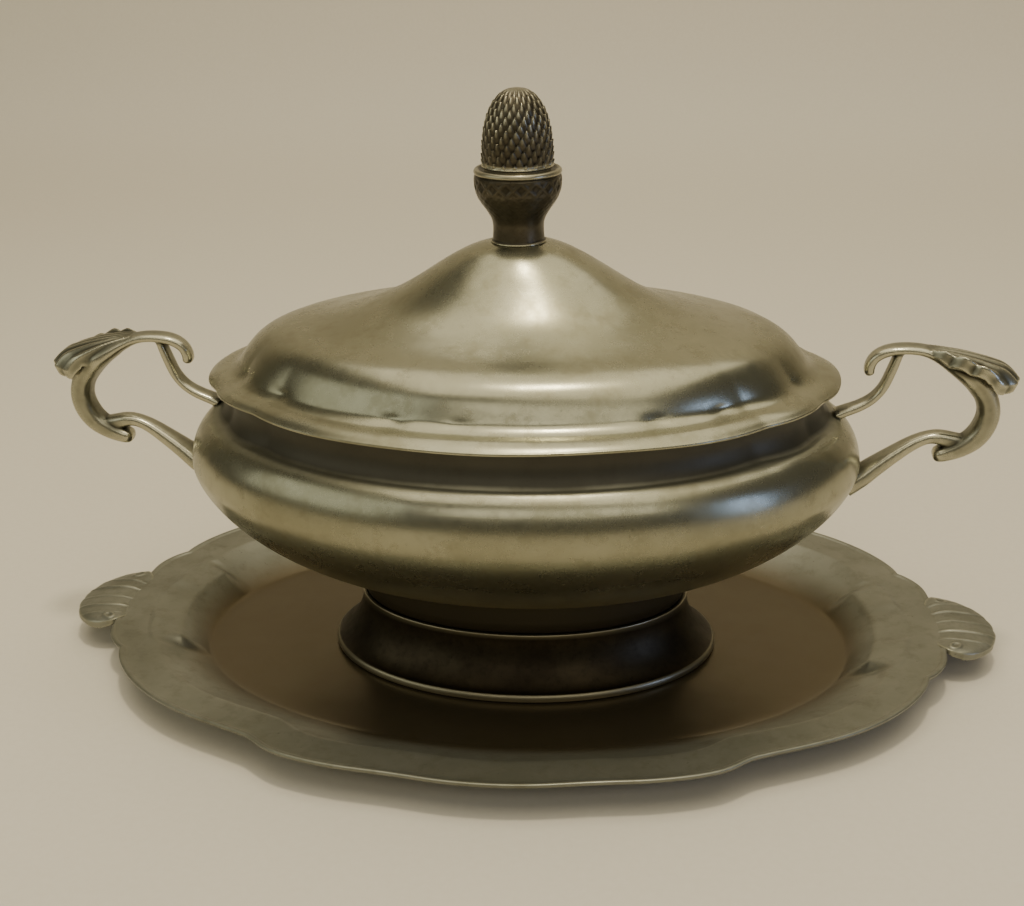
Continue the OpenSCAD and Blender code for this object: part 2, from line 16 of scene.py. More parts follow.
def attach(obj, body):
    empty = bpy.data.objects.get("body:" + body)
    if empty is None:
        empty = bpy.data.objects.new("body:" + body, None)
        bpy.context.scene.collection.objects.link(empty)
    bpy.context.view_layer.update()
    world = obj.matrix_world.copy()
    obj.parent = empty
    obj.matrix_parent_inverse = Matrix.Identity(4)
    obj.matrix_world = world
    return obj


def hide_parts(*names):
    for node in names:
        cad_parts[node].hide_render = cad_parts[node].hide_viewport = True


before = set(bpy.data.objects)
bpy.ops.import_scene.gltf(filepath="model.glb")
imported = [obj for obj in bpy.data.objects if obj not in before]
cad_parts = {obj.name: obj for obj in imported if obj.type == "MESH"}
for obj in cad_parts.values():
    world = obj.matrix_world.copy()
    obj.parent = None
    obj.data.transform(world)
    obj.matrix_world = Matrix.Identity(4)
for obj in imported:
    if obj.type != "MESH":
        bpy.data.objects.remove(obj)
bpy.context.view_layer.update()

# %% [markdown]
# ## Working in millimetres
# Blender counts in metres, but a pewterer thinks in millimetres, so the sizes of all pieces are in
# millimetres and are scaled once, when a mesh is made. Colours are written as sRGB hex values and
# turned to the linear values that shaders calculate with.

# %% Units, colours and shader nodes
MM = 0.001


def linear(hex_colour):
    """An sRGB hex colour as linear RGBA."""
    channels = [int(hex_colour[i:i + 2], 16) / 255 for i in (1, 3, 5)]
    curve = [c / 12.92 if c <= 0.04045 else ((c + 0.055) / 1.055) ** 2.4 for c in channels]
    return (*curve, 1.0)


def per_metre(size_mm):
    """How many grains of this size fit in a metre, which is what a texture's scale means."""
    return 1000 / size_mm


def add_node(material, kind, inputs=None, **settings):
    """Adds a shader node. An input that is a socket is linked, any other is set on the socket."""
    tree = material.node_tree
    node = tree.nodes.new("ShaderNode" + kind)
    for name, value in settings.items():
        setattr(node, name, value)
    for socket, value in (inputs or {}).items():
        if isinstance(value, bpy.types.NodeSocket):
            tree.links.new(value, node.inputs[socket])
        else:
            node.inputs[socket].default_value = value
    return node


# Several sockets of a mix node share a name, so they're picked by number
SHARE, NUMBER_A, NUMBER_B, COLOUR_A, COLOUR_B, MIXED_COLOUR = 0, 2, 3, 6, 7, 2
print("linear mid grey:", [round(c, 3) for c in linear("#808080")])

# %% [markdown]
# ## Ovals with lobed edges
# Bowl, lid, foot and stand are all stacks of ovals, so each is described by a short profile of
# stations: half length, half width, height, and how deep the notches in its edge are. A bell-shaped
# dip for each notch, measured along the oval's own outward direction, gives the lobed edges. They
# could be cut with curves too, but then each height would need a curve of its own.

# %% Ovals with notched edges
def notch_depth(turn, notches):
    """Depth of an edge's notches at each angle, folded into one quarter of the oval."""
    quarter = np.abs((turn + 90) % 180 - 90)
    depth = np.zeros_like(turn)
    for place, share, to_end, to_middle, roundness in notches:
        spread = np.where(quarter < place, to_end, to_middle)
        depth += share * np.exp(-((np.abs(quarter - place) / spread) ** roundness))
    return depth


def oval(station, notches, sides, dent=None):
    """One ring of points, counter-clockwise seen from above. A dent pushes points inwards."""
    a, b, z, dip = station
    turn = np.arange(sides) * 360 / sides
    c, s = np.cos(np.radians(turn)), np.sin(np.radians(turn))
    inset = dip * notch_depth(turn, notches)
    if dent:
        inset = inset + dent(turn, z)
    length = np.hypot(b * c, a * s)
    x, y = a * c - inset * b * c / length, b * s - inset * a * s / length
    return np.stack([x, y, np.full(sides, z)], axis=1)


print("corners of a plain oval:", oval((2, 1, 0, 0), [], 4).round(3).tolist())

# %% [markdown]
# ## Smooth profiles
# A raised or spun wall has no corners. A profile is smoothed by halving its steps and averaging,
# which ends on a cubic curve without facets in the reflections. A subdivision modifier would round
# the notches as well, so the rings are made at their final density instead.

# %% Smoothing a profile
def smoothed(stations, rounds=4, looped=False, least=0.12):
    """A profile's stations as a smooth curve, without steps shorter than the least."""
    p = np.asarray(stations, float)
    if not looped:
        p = np.concatenate([p[:1]] * 2 + [p] + [p[-1:]] * 2)
    for _ in range(rounds):
        p = np.repeat(p, 2, axis=0)
        for _ in range(3):
            p = (p + np.roll(p, -1, axis=0)) / 2 if looped else (p[:-1] + p[1:]) / 2
    kept = [p[0]]
    for q in p[1:]:
        if np.linalg.norm((q - kept[-1])[:3]) > least:
            kept.append(q)
    if not looped:
        kept[-1] = p[-1]
    return np.array(kept)


print("a corner of 3 stations becomes", len(smoothed([(0, 0, 0), (9, 0, 0), (9, 9, 0)])), "stations")

# %% [markdown]
# ## Skins
# Sheet pewter has two faces and an edge, so its profile runs up one side and back down the other.
# The rings are joined with quads. A profile that doesn't come back to its start has its two ends
# filled. Only creases sharper than a real edge stay sharp in the shading.

# %% A skin over a stack of rings
SHARP_FROM = math.radians(55)


def mesh_piece(name, points, faces):
    """A mesh object from points in millimetres, shaded smooth except along real edges."""
    mesh = bpy.data.meshes.new(name)
    mesh.from_pydata((np.asarray(points) * MM).tolist(), [], faces)
    mesh.shade_smooth()
    mesh.set_sharp_from_angle(angle=SHARP_FROM)
    piece = bpy.data.objects.new(name, mesh)
    bpy.context.scene.collection.objects.link(piece)
    return piece


def skin(name, rings, looped=False):
    """A skin over rings of points. One that isn't looped has its two ends filled."""
    rings = np.asarray(rings)
    count, sides = rings.shape[:2]
    here = np.arange(sides)
    after = (here + 1) % sides
    faces = []
    for k in range(count if looped else count - 1):
        low, high = k * sides, (k + 1) % count * sides
        faces += np.stack([low + here, low + after, high + after, high + here], axis=1).tolist()
    points = rings.reshape(-1, 3)
    if not looped:
        first, last, top = len(points), len(points) + 1, (count - 1) * sides
        points = np.concatenate([points, [rings[0].mean(0), rings[-1].mean(0)]])
        faces += [[first, j, i] for i, j in zip(here.tolist(), after.tolist())]
        faces += [[last, top + i, top + j] for i, j in zip(here.tolist(), after.tolist())]
    return mesh_piece(name, points, faces)


print("creases over", round(math.degrees(SHARP_FROM)), "degrees stay sharp")

# %% [markdown]
# ## Taking a solid's place
# Every skin stands for one packed solid: it gets a finish, rides on the solid's moving body, and has
# a named material slot, so that the part can be given another finish later.

# %% Seating a piece
def seat(piece, body, node, material):
    """Gives a piece its finish and its body, and lets it stand for its solid."""
    piece.data.materials.clear()
    piece.data.materials.append(material)
    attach(piece, body)
    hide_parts(node)
    print(f"{piece.name}: {len(piece.data.vertices)} points on {body}")


print("packed solids:", sorted(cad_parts))

# %% [markdown]
# ## Wear
# On old castings the hollows hold dark oxide and the high places are rubbed bright. How far each
# point stands out from its smoothed neighbourhood is measured once on the mesh and kept as an
# attribute, which a material can read. Blender's own pointiness would do, but it depends on how
# dense the mesh is.

# %% Measuring what stands out
def mark_wear(piece, rounds, reach_mm, rubbed=None):
    """Writes the attribute wear: 0 deep in a hollow, 0.5 on plain metal, 1 on a high place.
    rubbed gives, for heights in millimetres, how far the high places are brightened: by hands, and on the nut
    also as a painted highlight."""
    mesh = piece.data
    count = len(mesh.vertices)
    edges = np.empty(2 * len(mesh.edges), np.int64)
    mesh.edges.foreach_get("vertices", edges)
    start, end = edges.reshape(-1, 2).T
    rest = np.empty(3 * count)
    mesh.vertices.foreach_get("co", rest)
    rest = rest.reshape(-1, 3)
    normals = np.array([v.vector for v in mesh.vertex_normals])
    degree = np.bincount(start, minlength=count) + np.bincount(end, minlength=count)
    calm = rest.copy()
    for _ in range(rounds):
        total = np.stack([
            np.bincount(start, calm[end, k], count) + np.bincount(end, calm[start, k], count)
            for k in range(3)
        ], axis=1)
        calm = total / np.maximum(degree, 1)[:, None]
    rise = np.einsum("ij,ij->i", rest - calm, normals) / (reach_mm * MM)
    if rubbed:
        rise = np.where(rise > 0, rise * rubbed(rest[:, 2] / MM), rise)
    wear = mesh.attributes.new("wear", "FLOAT", "POINT")
    wear.data.foreach_set("value", np.clip(0.5 + 0.5 * rise, 0, 1).astype(np.float32))
    print(f"{piece.name}: {np.mean(rise > 0.1):.0%} of its points stand out")


print("wear runs from 0 in a hollow to 1 on a rubbed place")

# %% [markdown]
# ## Pewter
# Pewter is tin with a little copper and antimony. New it is nearly silver; with age it turns an
# olive grey, with clouds of tarnish and small dark pits. The lid and the bowl were raised and then
# rubbed with oil and rottenstone, which leaves a satin face with soft, broad reflections. The dish
# is duller sheet that was never polished as far. The castings keep some grain from the mould, and
# the knob and the foot are dark with oxide; the foot is darkened further as painted shade. One recipe
# makes them all, with different colours, roughness and grain, so that they look like one metal.

# %% Clouds, tarnish and pits
PIT_MM = 1.7


def aged_metal(m, place, bright, grey, tarnish, pit, pitted, rough, cloud_mm):
    """Colour and roughness of old metal, and the clouds that they follow."""
    clouds = add_node(m, "TexNoise", {
        "Vector": place, "Scale": per_metre(cloud_mm), "Detail": 5.0, "Roughness": 0.62}).outputs["Fac"]
    spots = add_node(m, "TexNoise", {
        "Vector": place, "Scale": per_metre(cloud_mm / 5), "Detail": 6.0, "Roughness": 0.7}).outputs["Fac"]
    pits = add_node(m, "TexNoise", {"Vector": place, "Scale": per_metre(PIT_MM), "Detail": 3.0})
    cloudy = add_node(m, "MapRange", {"Value": clouds, "From Min": 0.35, "From Max": 0.65})
    spotted = add_node(m, "MapRange", {"Value": spots, "From Min": 0.5, "From Max": 0.75, "To Max": 0.6})
    eaten = add_node(m, "MapRange", {
        "Value": pits.outputs["Fac"], "From Min": 0.7, "From Max": 0.76, "To Max": pitted})
    colour = linear(bright)
    for share, darker in ((cloudy, grey), (spotted, tarnish), (eaten, pit)):
        colour = add_node(m, "Mix", {
            SHARE: share.outputs[0], COLOUR_A: colour, COLOUR_B: linear(darker),
        }, data_type="RGBA").outputs[MIXED_COLOUR]
    soft = add_node(m, "Math", {0: clouds, 1: spots}, operation="ADD").outputs[0]
    roughness = add_node(m, "MapRange", {
        "Value": soft, "From Min": 0.7, "From Max": 1.3, "To Min": rough[0], "To Max": rough[1]}).outputs[0]
    return colour, roughness, clouds


print("pits of", PIT_MM, "mm")

# %% [markdown]
# ## Dark hollows and bright edges
# On a casting the attribute measured above decides where oxide stays and where hands have rubbed
# the metal bare. Bare metal is also a little smoother, so it glints.

# %% What hands leave behind
BURNISH = 0.8


def handled(m, colour, roughness, hollow_colour, bare_colour, smoothest):
    """Colour and roughness with dark hollows and rubbed high places."""
    wear = add_node(m, "Attribute", attribute_name="wear").outputs["Fac"]
    hollow = add_node(m, "MapRange", {"Value": wear, "From Min": 0.5, "From Max": 0.15, "To Max": 0.92})
    bare = add_node(m, "MapRange", {"Value": wear, "From Min": 0.56, "From Max": 0.9, "To Max": 0.9})
    for share, new_colour in ((hollow, hollow_colour), (bare, bare_colour)):
        colour = add_node(m, "Mix", {
            SHARE: share.outputs[0], COLOUR_A: colour, COLOUR_B: linear(new_colour),
        }, data_type="RGBA").outputs[MIXED_COLOUR]
    roughness = add_node(m, "Mix", {
        SHARE: bare.outputs[0], NUMBER_A: roughness, NUMBER_B: smoothest * BURNISH}).outputs[0]
    return colour, roughness


print("rubbed places are", BURNISH, "times as rough")

# %% [markdown]
# ## Dull metal and painted light in bands
# Underneath the belly nobody rubs, so the metal there is dull, and its colour there is also a painted warm
# reflection. The collar, the neck under the lid's flange and the well of the stand are darkened as painted
# shade. The border of such a band lies at a height. It could be painted by hand as a mask, but a height in
# millimetres is exact, and the clouds push it up and down, so that it looks ragged.

# %% Dull metal, painted shade and painted reflection
BAND_SHARE_AT_MOST = 0.9


def dull_and_painted_light_band(m, place, clouds, surface, band_starts_at, band_full_at, ragged_mm, colour, metallic, rough):
    """Colour, roughness and metallic value, with a band between two heights in millimetres: dull metal,
    painted shade and painted reflection, each where a finish asks for it.
    """
    height = add_node(m, "SeparateXYZ", {"Vector": place}).outputs["Z"]
    ragged = add_node(m, "Math", {0: clouds, 1: ragged_mm * MM, 2: height}, operation="MULTIPLY_ADD")
    lift = ragged_mm / 2
    share = add_node(m, "MapRange", {
        "Value": ragged.outputs[0], "From Min": (band_starts_at + lift) * MM, "From Max": (band_full_at + lift) * MM,
        "To Max": BAND_SHARE_AT_MOST}).outputs[0]
    old_colour, old_rough, old_metallic = surface
    new_colour = add_node(m, "Mix", {
        SHARE: share, COLOUR_A: old_colour, COLOUR_B: linear(colour)}, data_type="RGBA")
    new_rough = add_node(m, "Mix", {SHARE: share, NUMBER_A: old_rough, NUMBER_B: rough})
    new_metallic = add_node(m, "Mix", {SHARE: share, NUMBER_A: old_metallic, NUMBER_B: metallic})
    return new_colour.outputs[MIXED_COLOUR], new_rough.outputs[0], new_metallic.outputs[0]


print(f"a dull part hides up to {BAND_SHARE_AT_MOST:.0%} of the metal")

# %% [markdown]
# ## Tool marks
# Under all of it lie slow waves from the hammer, the metal's own grain, and on rubbed pieces the fine
# marks that run round an oval. The real grain and marks are under a tenth of a millimetre; they are
# drawn coarser, because they would vanish between the render's pixels.

# %% Waves, grain and rubbing marks
# Coarser than on real metal, so that they show
GRAIN_MM, GRAIN_DEEP_MM = 0.9, 0.012
RUB_MM, RUB_DEEP_MM = 0.7, 0.006
OVAL_RATIO = 1.4  # length of the bowl and the lid over their width


def tooled(m, place, wave_mm, wave_deep_mm, rubbed_round):
    """The bent normal of a face with its tool marks."""
    waves = add_node(m, "TexNoise", {"Vector": place, "Scale": per_metre(wave_mm), "Detail": 1.5})
    grain = add_node(m, "TexNoise", {"Vector": place, "Scale": per_metre(GRAIN_MM), "Detail": 4.0})
    normal = add_node(m, "Bump", {
        "Height": waves.outputs["Fac"], "Distance": wave_deep_mm * MM}).outputs[0]
    normal = add_node(m, "Bump", {
        "Height": grain.outputs["Fac"], "Distance": GRAIN_DEEP_MM * MM, "Normal": normal}).outputs[0]
    if not rubbed_round:
        return normal
    squeezed = add_node(m, "VectorMath", {0: place, 1: (1 / OVAL_RATIO, 1, 0)}, operation="MULTIPLY")
    out = add_node(m, "VectorMath", {0: squeezed.outputs[0]}, operation="LENGTH").outputs["Value"]
    up = add_node(m, "SeparateXYZ", {"Vector": place}).outputs["Z"]
    ring = add_node(m, "CombineXYZ", {"X": out, "Y": up})
    marks = add_node(m, "TexNoise", {"Vector": ring.outputs[0], "Scale": per_metre(RUB_MM), "Detail": 2.0})
    return add_node(m, "Bump", {
        "Height": marks.outputs["Fac"], "Distance": RUB_DEEP_MM * MM, "Normal": normal}).outputs[0]


print("grain of", GRAIN_MM, "mm, rubbing marks of", RUB_MM, "mm")

# %% [markdown]
# ## The recipe
# The layers above make one material. Part of an old face is oxide, which scatters light as stone
# does, so the metallic value stays a little under 1. The index of refraction keeps its default. All
# textures use the piece's own coordinates, so the marks travel with a lifted lid.

# %% One recipe for old metal
def old_metal(name, bright, grey, tarnish, pit, rough, cloud_mm, wave_mm, wave_deep_mm,
              pitted=0.5, worn=None, dull_and_painted_light_bands=(), rubbed_round=False, oxide=0.1):
    """Old metal. worn: colours of hollows and of rubbed places. oxide: share of the face that is
    dull. rubbed_round: whether fine marks run round the piece."""
    m = bpy.data.materials.new(name)
    m.use_nodes = True
    m.node_tree.nodes.clear()
    place = add_node(m, "TexCoord").outputs["Object"]
    colour, roughness, clouds = aged_metal(m, place, bright, grey, tarnish, pit, pitted, rough, cloud_mm)
    if worn:
        colour, roughness = handled(m, colour, roughness, *worn, rough[0])
    metallic = 1 - oxide
    # Each band is dull metal, painted shade or a painted reflection, as the finish gives it
    for part in dull_and_painted_light_bands:
        colour, roughness, metallic = dull_and_painted_light_band(m, place, clouds, (colour, roughness, metallic), **part)
    normal = tooled(m, place, wave_mm, wave_deep_mm, rubbed_round)
    shader = add_node(m, "BsdfPrincipled", {
        "Base Color": colour, "Metallic": metallic, "Roughness": roughness, "Normal": normal})
    add_node(m, "OutputMaterial", {"Surface": shader.outputs[0]})
    print("finish:", name)
    return m


# %% [markdown]
# ## Raised and rolled finishes
# Lid and bowl share one satin face. The lower half is dull below the belly, with a painted warm reflection
# there and painted shade on its collar; the neck carries painted shade, and so does the well of the stand.

# %% Sheet pewter
# Rubbed with oil: broad, soft highlights and hardly a pit
satin_look = dict(
    bright="#a3a18c", grey="#8f8c75", tarnish="#78725a", pit="#3a3321", rough=(0.21, 0.33), cloud_mm=45,
    wave_mm=16, wave_deep_mm=0.14, pitted=0.25, rubbed_round=True, oxide=0.06)
satin_pewter = old_metal("pewter_raised_and_rubbed", **satin_look)
# The same face, dull below the belly, where its brownish gold is a painted reflection of the warm floor,
# and the collar is almost black as painted shade under the belly
belly_pewter_dull_and_painted_light = old_metal("pewter_raised_unpolished_below_painted_light", **satin_look, dull_and_painted_light_bands=[
    dict(band_starts_at=66, band_full_at=44, ragged_mm=18, colour="#857648", metallic=0.45, rough=0.45),
    dict(band_starts_at=43, band_full_at=39.5, ragged_mm=1.5, colour="#2a2318", metallic=0.5, rough=0.5)])
# The same face again, with painted shade darkening the hollow neck under the lid's flange
neck_pewter_painted_shade = old_metal("pewter_raised_neck_painted_shade", **satin_look, dull_and_painted_light_bands=[
    dict(band_starts_at=101.8, band_full_at=105, ragged_mm=2, colour="#2b271c", metallic=0.4, rough=0.5)])
# As it left the roller and the sinking hammer: dull, with slow waves. The well is painted darker and
# browner than the border, as painted shade under the bowl, but smooth enough to mirror the foot.
sheet_pewter_well_painted_shade = old_metal(
    "pewter_sheet_dull_well_painted_shade", "#86867a", "#757567", "#605c4b", "#39321f",
    rough=(0.31, 0.43), cloud_mm=38, wave_mm=22, wave_deep_mm=0.25, oxide=0.25,
    dull_and_painted_light_bands=[dict(band_starts_at=9.5, band_full_at=3, ragged_mm=2, colour="#5c5038", metallic=0.75, rough=0.3)])

# %% [markdown]
# ## Cast finishes
# Handles, lugs, knob and foot were poured in sand moulds and only filed, so they're grainier than the
# sheet. What sets them apart is how much oxide was ever cleaned off; the foot is also painted shade.

# %% Cast pewter
# Filed and handled: grainy, dark in the hollows and bright where hands have been
cast_pewter = old_metal(
    "pewter_sand_cast", "#7c7b6b", "#6a6858", "#534f3e", "#39321f", oxide=0.15,
    rough=(0.29, 0.42), cloud_mm=14, wave_mm=5, wave_deep_mm=0.08, worn=("#2b2516", "#b9b59e"))
# The lugs lie with the stand, so they're as dull as its sheet
lug_pewter = old_metal(
    "pewter_cast_dull", "#86867a", "#757567", "#605c4b", "#39321f", oxide=0.3,
    rough=(0.34, 0.46), cloud_mm=16, wave_mm=7, wave_deep_mm=0.1, worn=("#4a4431", "#adaa92"))
# Never cleaned: almost black, with bare metal only on the highest edges
dark_pewter = old_metal(
    "pewter_cast_oxidised", "#575143", "#454033", "#322c21", "#17130c", oxide=0.2,
    rough=(0.29, 0.44), cloud_mm=9, wave_mm=4, wave_deep_mm=0.06, worn=("#100d08", "#c3bda2"))
# Dark oxide, its colours darkened further as painted shade under the bowl; only its lowest edge is rubbed
foot_pewter_painted_shade = old_metal(
    "pewter_foot_oxidised_painted_shade", "#3d3628", "#2f281d", "#211b12", "#17120b",
    rough=(0.34, 0.48), cloud_mm=16, wave_mm=9, wave_deep_mm=0.1, worn=("#1d180f", "#b5ae94"))

# %% [markdown]
# ## The stand
# A dish of sheet pewter: a flat well, a border that climbs out of it on a straight slope, and a flat
# band along the edge. The edge is cut into lobes, with a sharp notch by each lug and an ogee step
# further on, and its rim is rolled to a thin bead. A profile swept round an oval gives all of it,
# and the notches fade towards the well, as they do when a smith sinks the border.

# %% The stand's rings
STAND_A, STAND_B = 173, 128
WELL_A, WELL_B, WELL_BEND, WELL_MIDDLE = 132, 86, 10, 0.1
SHEET, RIM_Z, BORDER_Z, BAND, ROLL = 2.0, 14.5, 13.5, 16.0, 1.1
STAND_DIP = 4.2
# Of each notch: angle from the end, share of the full depth, spread towards the end and towards the
# middle, and how round it is
STAND_NOTCHES = [(9, 0.5, 2.5, 4, 2), (21, 0.8, 3, 5, 1), (57, 1.1, 13, 4, 2), (78, 0.35, 6, 6, 2)]
STAND_SIDES = 480
BEAD_Z = 13.9


def rim_at(inset, z):
    """A station near the edge, with the full notches."""
    return (STAND_A - inset, STAND_B - inset, z, STAND_DIP)


def border_at(share, up, under):
    """A station on the border, whose notches fade towards the well."""
    a = WELL_A + (STAND_A - BAND - WELL_A) * share
    b = WELL_B + (STAND_B - BAND - WELL_B) * share
    return (a, b, SHEET - under + (BORDER_Z - SHEET) * up, STAND_DIP * share ** 2)


# Share of the way from the well to the band, and of the height
climb = [(0, 0), (0.08, 0.06), (0.3, 0.32), (0.7, 0.72)]
stand_profile = [
    (WELL_A * WELL_MIDDLE, WELL_B * WELL_MIDDLE, 0, 0), (WELL_A - WELL_BEND, WELL_B - WELL_BEND, 0, 0),
    *[border_at(share, up, SHEET) for share, up in climb],
    rim_at(BAND, BORDER_Z - SHEET), rim_at(ROLL + 1, BEAD_Z - SHEET + 0.3),
    rim_at(ROLL * 0.3, BEAD_Z - 1.2), rim_at(0, BEAD_Z - 0.2), rim_at(0, BEAD_Z + 0.3),
    rim_at(ROLL * 0.5, RIM_Z), rim_at(ROLL * 1.3, RIM_Z), rim_at(ROLL * 2, BEAD_Z + 0.2),
    rim_at(ROLL * 2.6, BEAD_Z - 0.2), rim_at(BAND - 1.5, BORDER_Z + 0.2), rim_at(BAND, BORDER_Z),
    rim_at(BAND + 1, BORDER_Z - 0.4),
    *[border_at(share, up, 0) for share, up in climb[::-1]],
    (WELL_A - WELL_BEND, WELL_B - WELL_BEND, SHEET, 0),
    (WELL_A * WELL_MIDDLE, WELL_B * WELL_MIDDLE, SHEET, 0),
]
stand_rings = np.array([oval(s, STAND_NOTCHES, STAND_SIDES) for s in smoothed(stand_profile, rounds=3)])
print("stand of", len(stand_rings), "rings")

# %% [markdown]
# ## The stand's end panels
# At each end the border was beaten flatter, in a panel that reaches from the lug to the well, and a
# fold runs in from the sharp notch on either side. The rings are there already, so the points between
# two angles are lifted. Sculpting could do this too, but not alike at both ends.

# %% End panels and the finished stand
PANEL_FROM, PANEL_TO, PANEL_FOLD, PANEL_FLAT = 17, 20.8, 0.45, 0.68
stand_turn = np.arange(STAND_SIDES) * 360 / STAND_SIDES
from_end = np.abs((stand_turn + 90) % 180 - 90)
in_panel = np.clip((PANEL_TO - from_end) / (PANEL_TO - PANEL_FROM), 0, 1)
in_panel = in_panel ** 2 * (3 - 2 * in_panel)
outwards = np.hypot(stand_rings[:, :, 0] / STAND_A, stand_rings[:, :, 1] / STAND_B)
well_edge, band_edge = WELL_A / STAND_A, 1 - BAND / STAND_A
climbing = np.clip((outwards - well_edge) / (band_edge - well_edge), 0, 1)
panel_rise = np.minimum(1, climbing / PANEL_FOLD) - climbing
stand_rings[:, :, 2] += PANEL_FLAT * (BORDER_Z - SHEET) * in_panel * panel_rise
stand = skin("stand_dish", stand_rings)
seat(stand, "stand", "stand_plate", sheet_pewter_well_painted_shade)

# %% [markdown]
# ## Castings
# Handles and lugs were cast in one piece and filed where their parts meet. Each is first put
# together from simple closed forms that run into one another. A voxel remesh then melts these into
# one skin, and a little smoothing leaves the soft inner corners of a casting. Booleans would leave
# knife-sharp seams.

# %% Melting forms into one casting
def cast(name, forms, voxel_mm, passes):
    """One skin over several closed meshes that overlap."""
    points, faces = [], []
    for form in forms:
        base = len(points)
        points += [v.co[:] for v in form.data.vertices]
        faces += [[base + i for i in p.vertices] for p in form.data.polygons]
        bpy.data.objects.remove(form)
    mesh = bpy.data.meshes.new(name)
    mesh.from_pydata(points, [], faces)
    piece = bpy.data.objects.new(name, mesh)
    bpy.context.scene.collection.objects.link(piece)
    melt = piece.modifiers.new("melt", "REMESH")
    melt.mode = "VOXEL"
    melt.voxel_size = voxel_mm * MM
    file = piece.modifiers.new("file", "SMOOTH")
    file.factor = 0.5
    file.iterations = passes
    whole = bpy.data.meshes.new_from_object(piece.evaluated_get(bpy.context.evaluated_depsgraph_get()))
    piece.modifiers.clear()
    piece.data = whole
    whole.name = name
    whole.shade_smooth()
    print(f"{name}: {len(points)} loose points became {len(whole.vertices)}")
    return piece


print(cast.__name__, "makes:", cast.__doc__)

# %% [markdown]
# ## Pairs and plates
# Handles and lugs come in pairs from one pattern, so the second is a copy, turned by half a turn. A
# mirrored copy would swap the leaf's curled side. Lugs and leaves are plates of uneven thickness: two
# grids of heights, closed along their border.

# %% Half-turned copies and plates
def half_turned(piece, name):
    """A copy on the other end of the tureen."""
    other = bpy.data.objects.new(name, piece.data.copy())
    other.data.transform(Matrix.Rotation(math.pi, 4, "Z"))
    bpy.context.scene.collection.objects.link(other)
    return other


def sheet_form(name, top, under):
    """A closed form between an upper and a lower grid of points."""
    rows, across = top.shape[:2]
    grid = np.arange(rows * across).reshape(rows, across)
    a, b, c, d = grid[:-1, :-1], grid[:-1, 1:], grid[1:, 1:], grid[1:, :-1]
    quads = np.stack([a, b, c, d], axis=2).reshape(-1, 4)
    rim = np.concatenate([grid[0, :-1], grid[:-1, -1], grid[-1, :0:-1], grid[:0:-1, 0]])
    after = np.roll(rim, -1)
    walls = np.stack([after, rim, rim + grid.size, after + grid.size], axis=1)
    faces = np.concatenate([quads, quads[:, ::-1] + grid.size, walls])
    return mesh_piece(name, np.concatenate([top.reshape(-1, 3), under.reshape(-1, 3)]), faces.tolist())


print(sheet_form.__name__, "makes:", sheet_form.__doc__)

# %% [markdown]
# ## The lugs
# At each end of the stand a cast tongue serves as a grip. Its root lies on the border's band, so that
# no step shows: the metal climbs over the bead and runs out to a rounded tip that bends down. Thin
# ribs start on the band and fan out, and a small curl closes each root corner. All of it is one grid
# of heights with a thinner copy below, and the remesh rounds its edges as casting and filing do.

# %% The stand's edge and the lug's section
SOLDER = 0.15
# Distance from the stand's edge, height of the upper face, thickness
lug_line = smoothed([
    (-10, 12.4, 0.8), (-6, 13.4, 1.0), (-2, 14.6, 1.6), (1, 14.9, 2.4), (6, 14.6, 3.0), (12, 13.8, 2.6),
    (19, 12.4, 2.0),
], rounds=3)


def stand_edge(y):
    """Where the stand's lobed edge lies at a distance from its long axis."""
    t = np.degrees(np.arcsin(y / STAND_B))
    inset = STAND_DIP * notch_depth(np.asarray(t, float), STAND_NOTCHES)
    c, s = np.cos(np.radians(t)), np.sin(np.radians(t))
    return STAND_A * c - inset * STAND_B * c / np.hypot(STAND_B * c, STAND_A * s) + SOLDER


print("the stand ends", round(float(stand_edge(0.0)), 2), "mm from its middle")

# %% [markdown]
# ## The tongue's relief
# Here u runs from the root to the tip and v across. Every rib is a bell-shaped ridge that fades at both
# ends, and each curl is a ring that pushes the ribs aside. Modelling each rib as a bar of its own would
# leave joints where they run into the plate.

# %% The lugs
LUG_REACH, LUG_HALF, LUG_ON_BAND = 18.0, 23.0, 10.0
LUG_RIB, LUG_RIB_WIDE, LUG_SCALLOPS = 0.6, 0.75, 5
LUG_CURL, LUG_CURL_R, LUG_CURL_WIDE = 0.5, 1.9, 0.7
# Place of each rib across the tongue, and its share of the full height
lug_ribs = [(-0.6, 0.6), (-0.3, 1), (0.08, 0.5), (0.42, 0.9), (0.72, 0.5)]


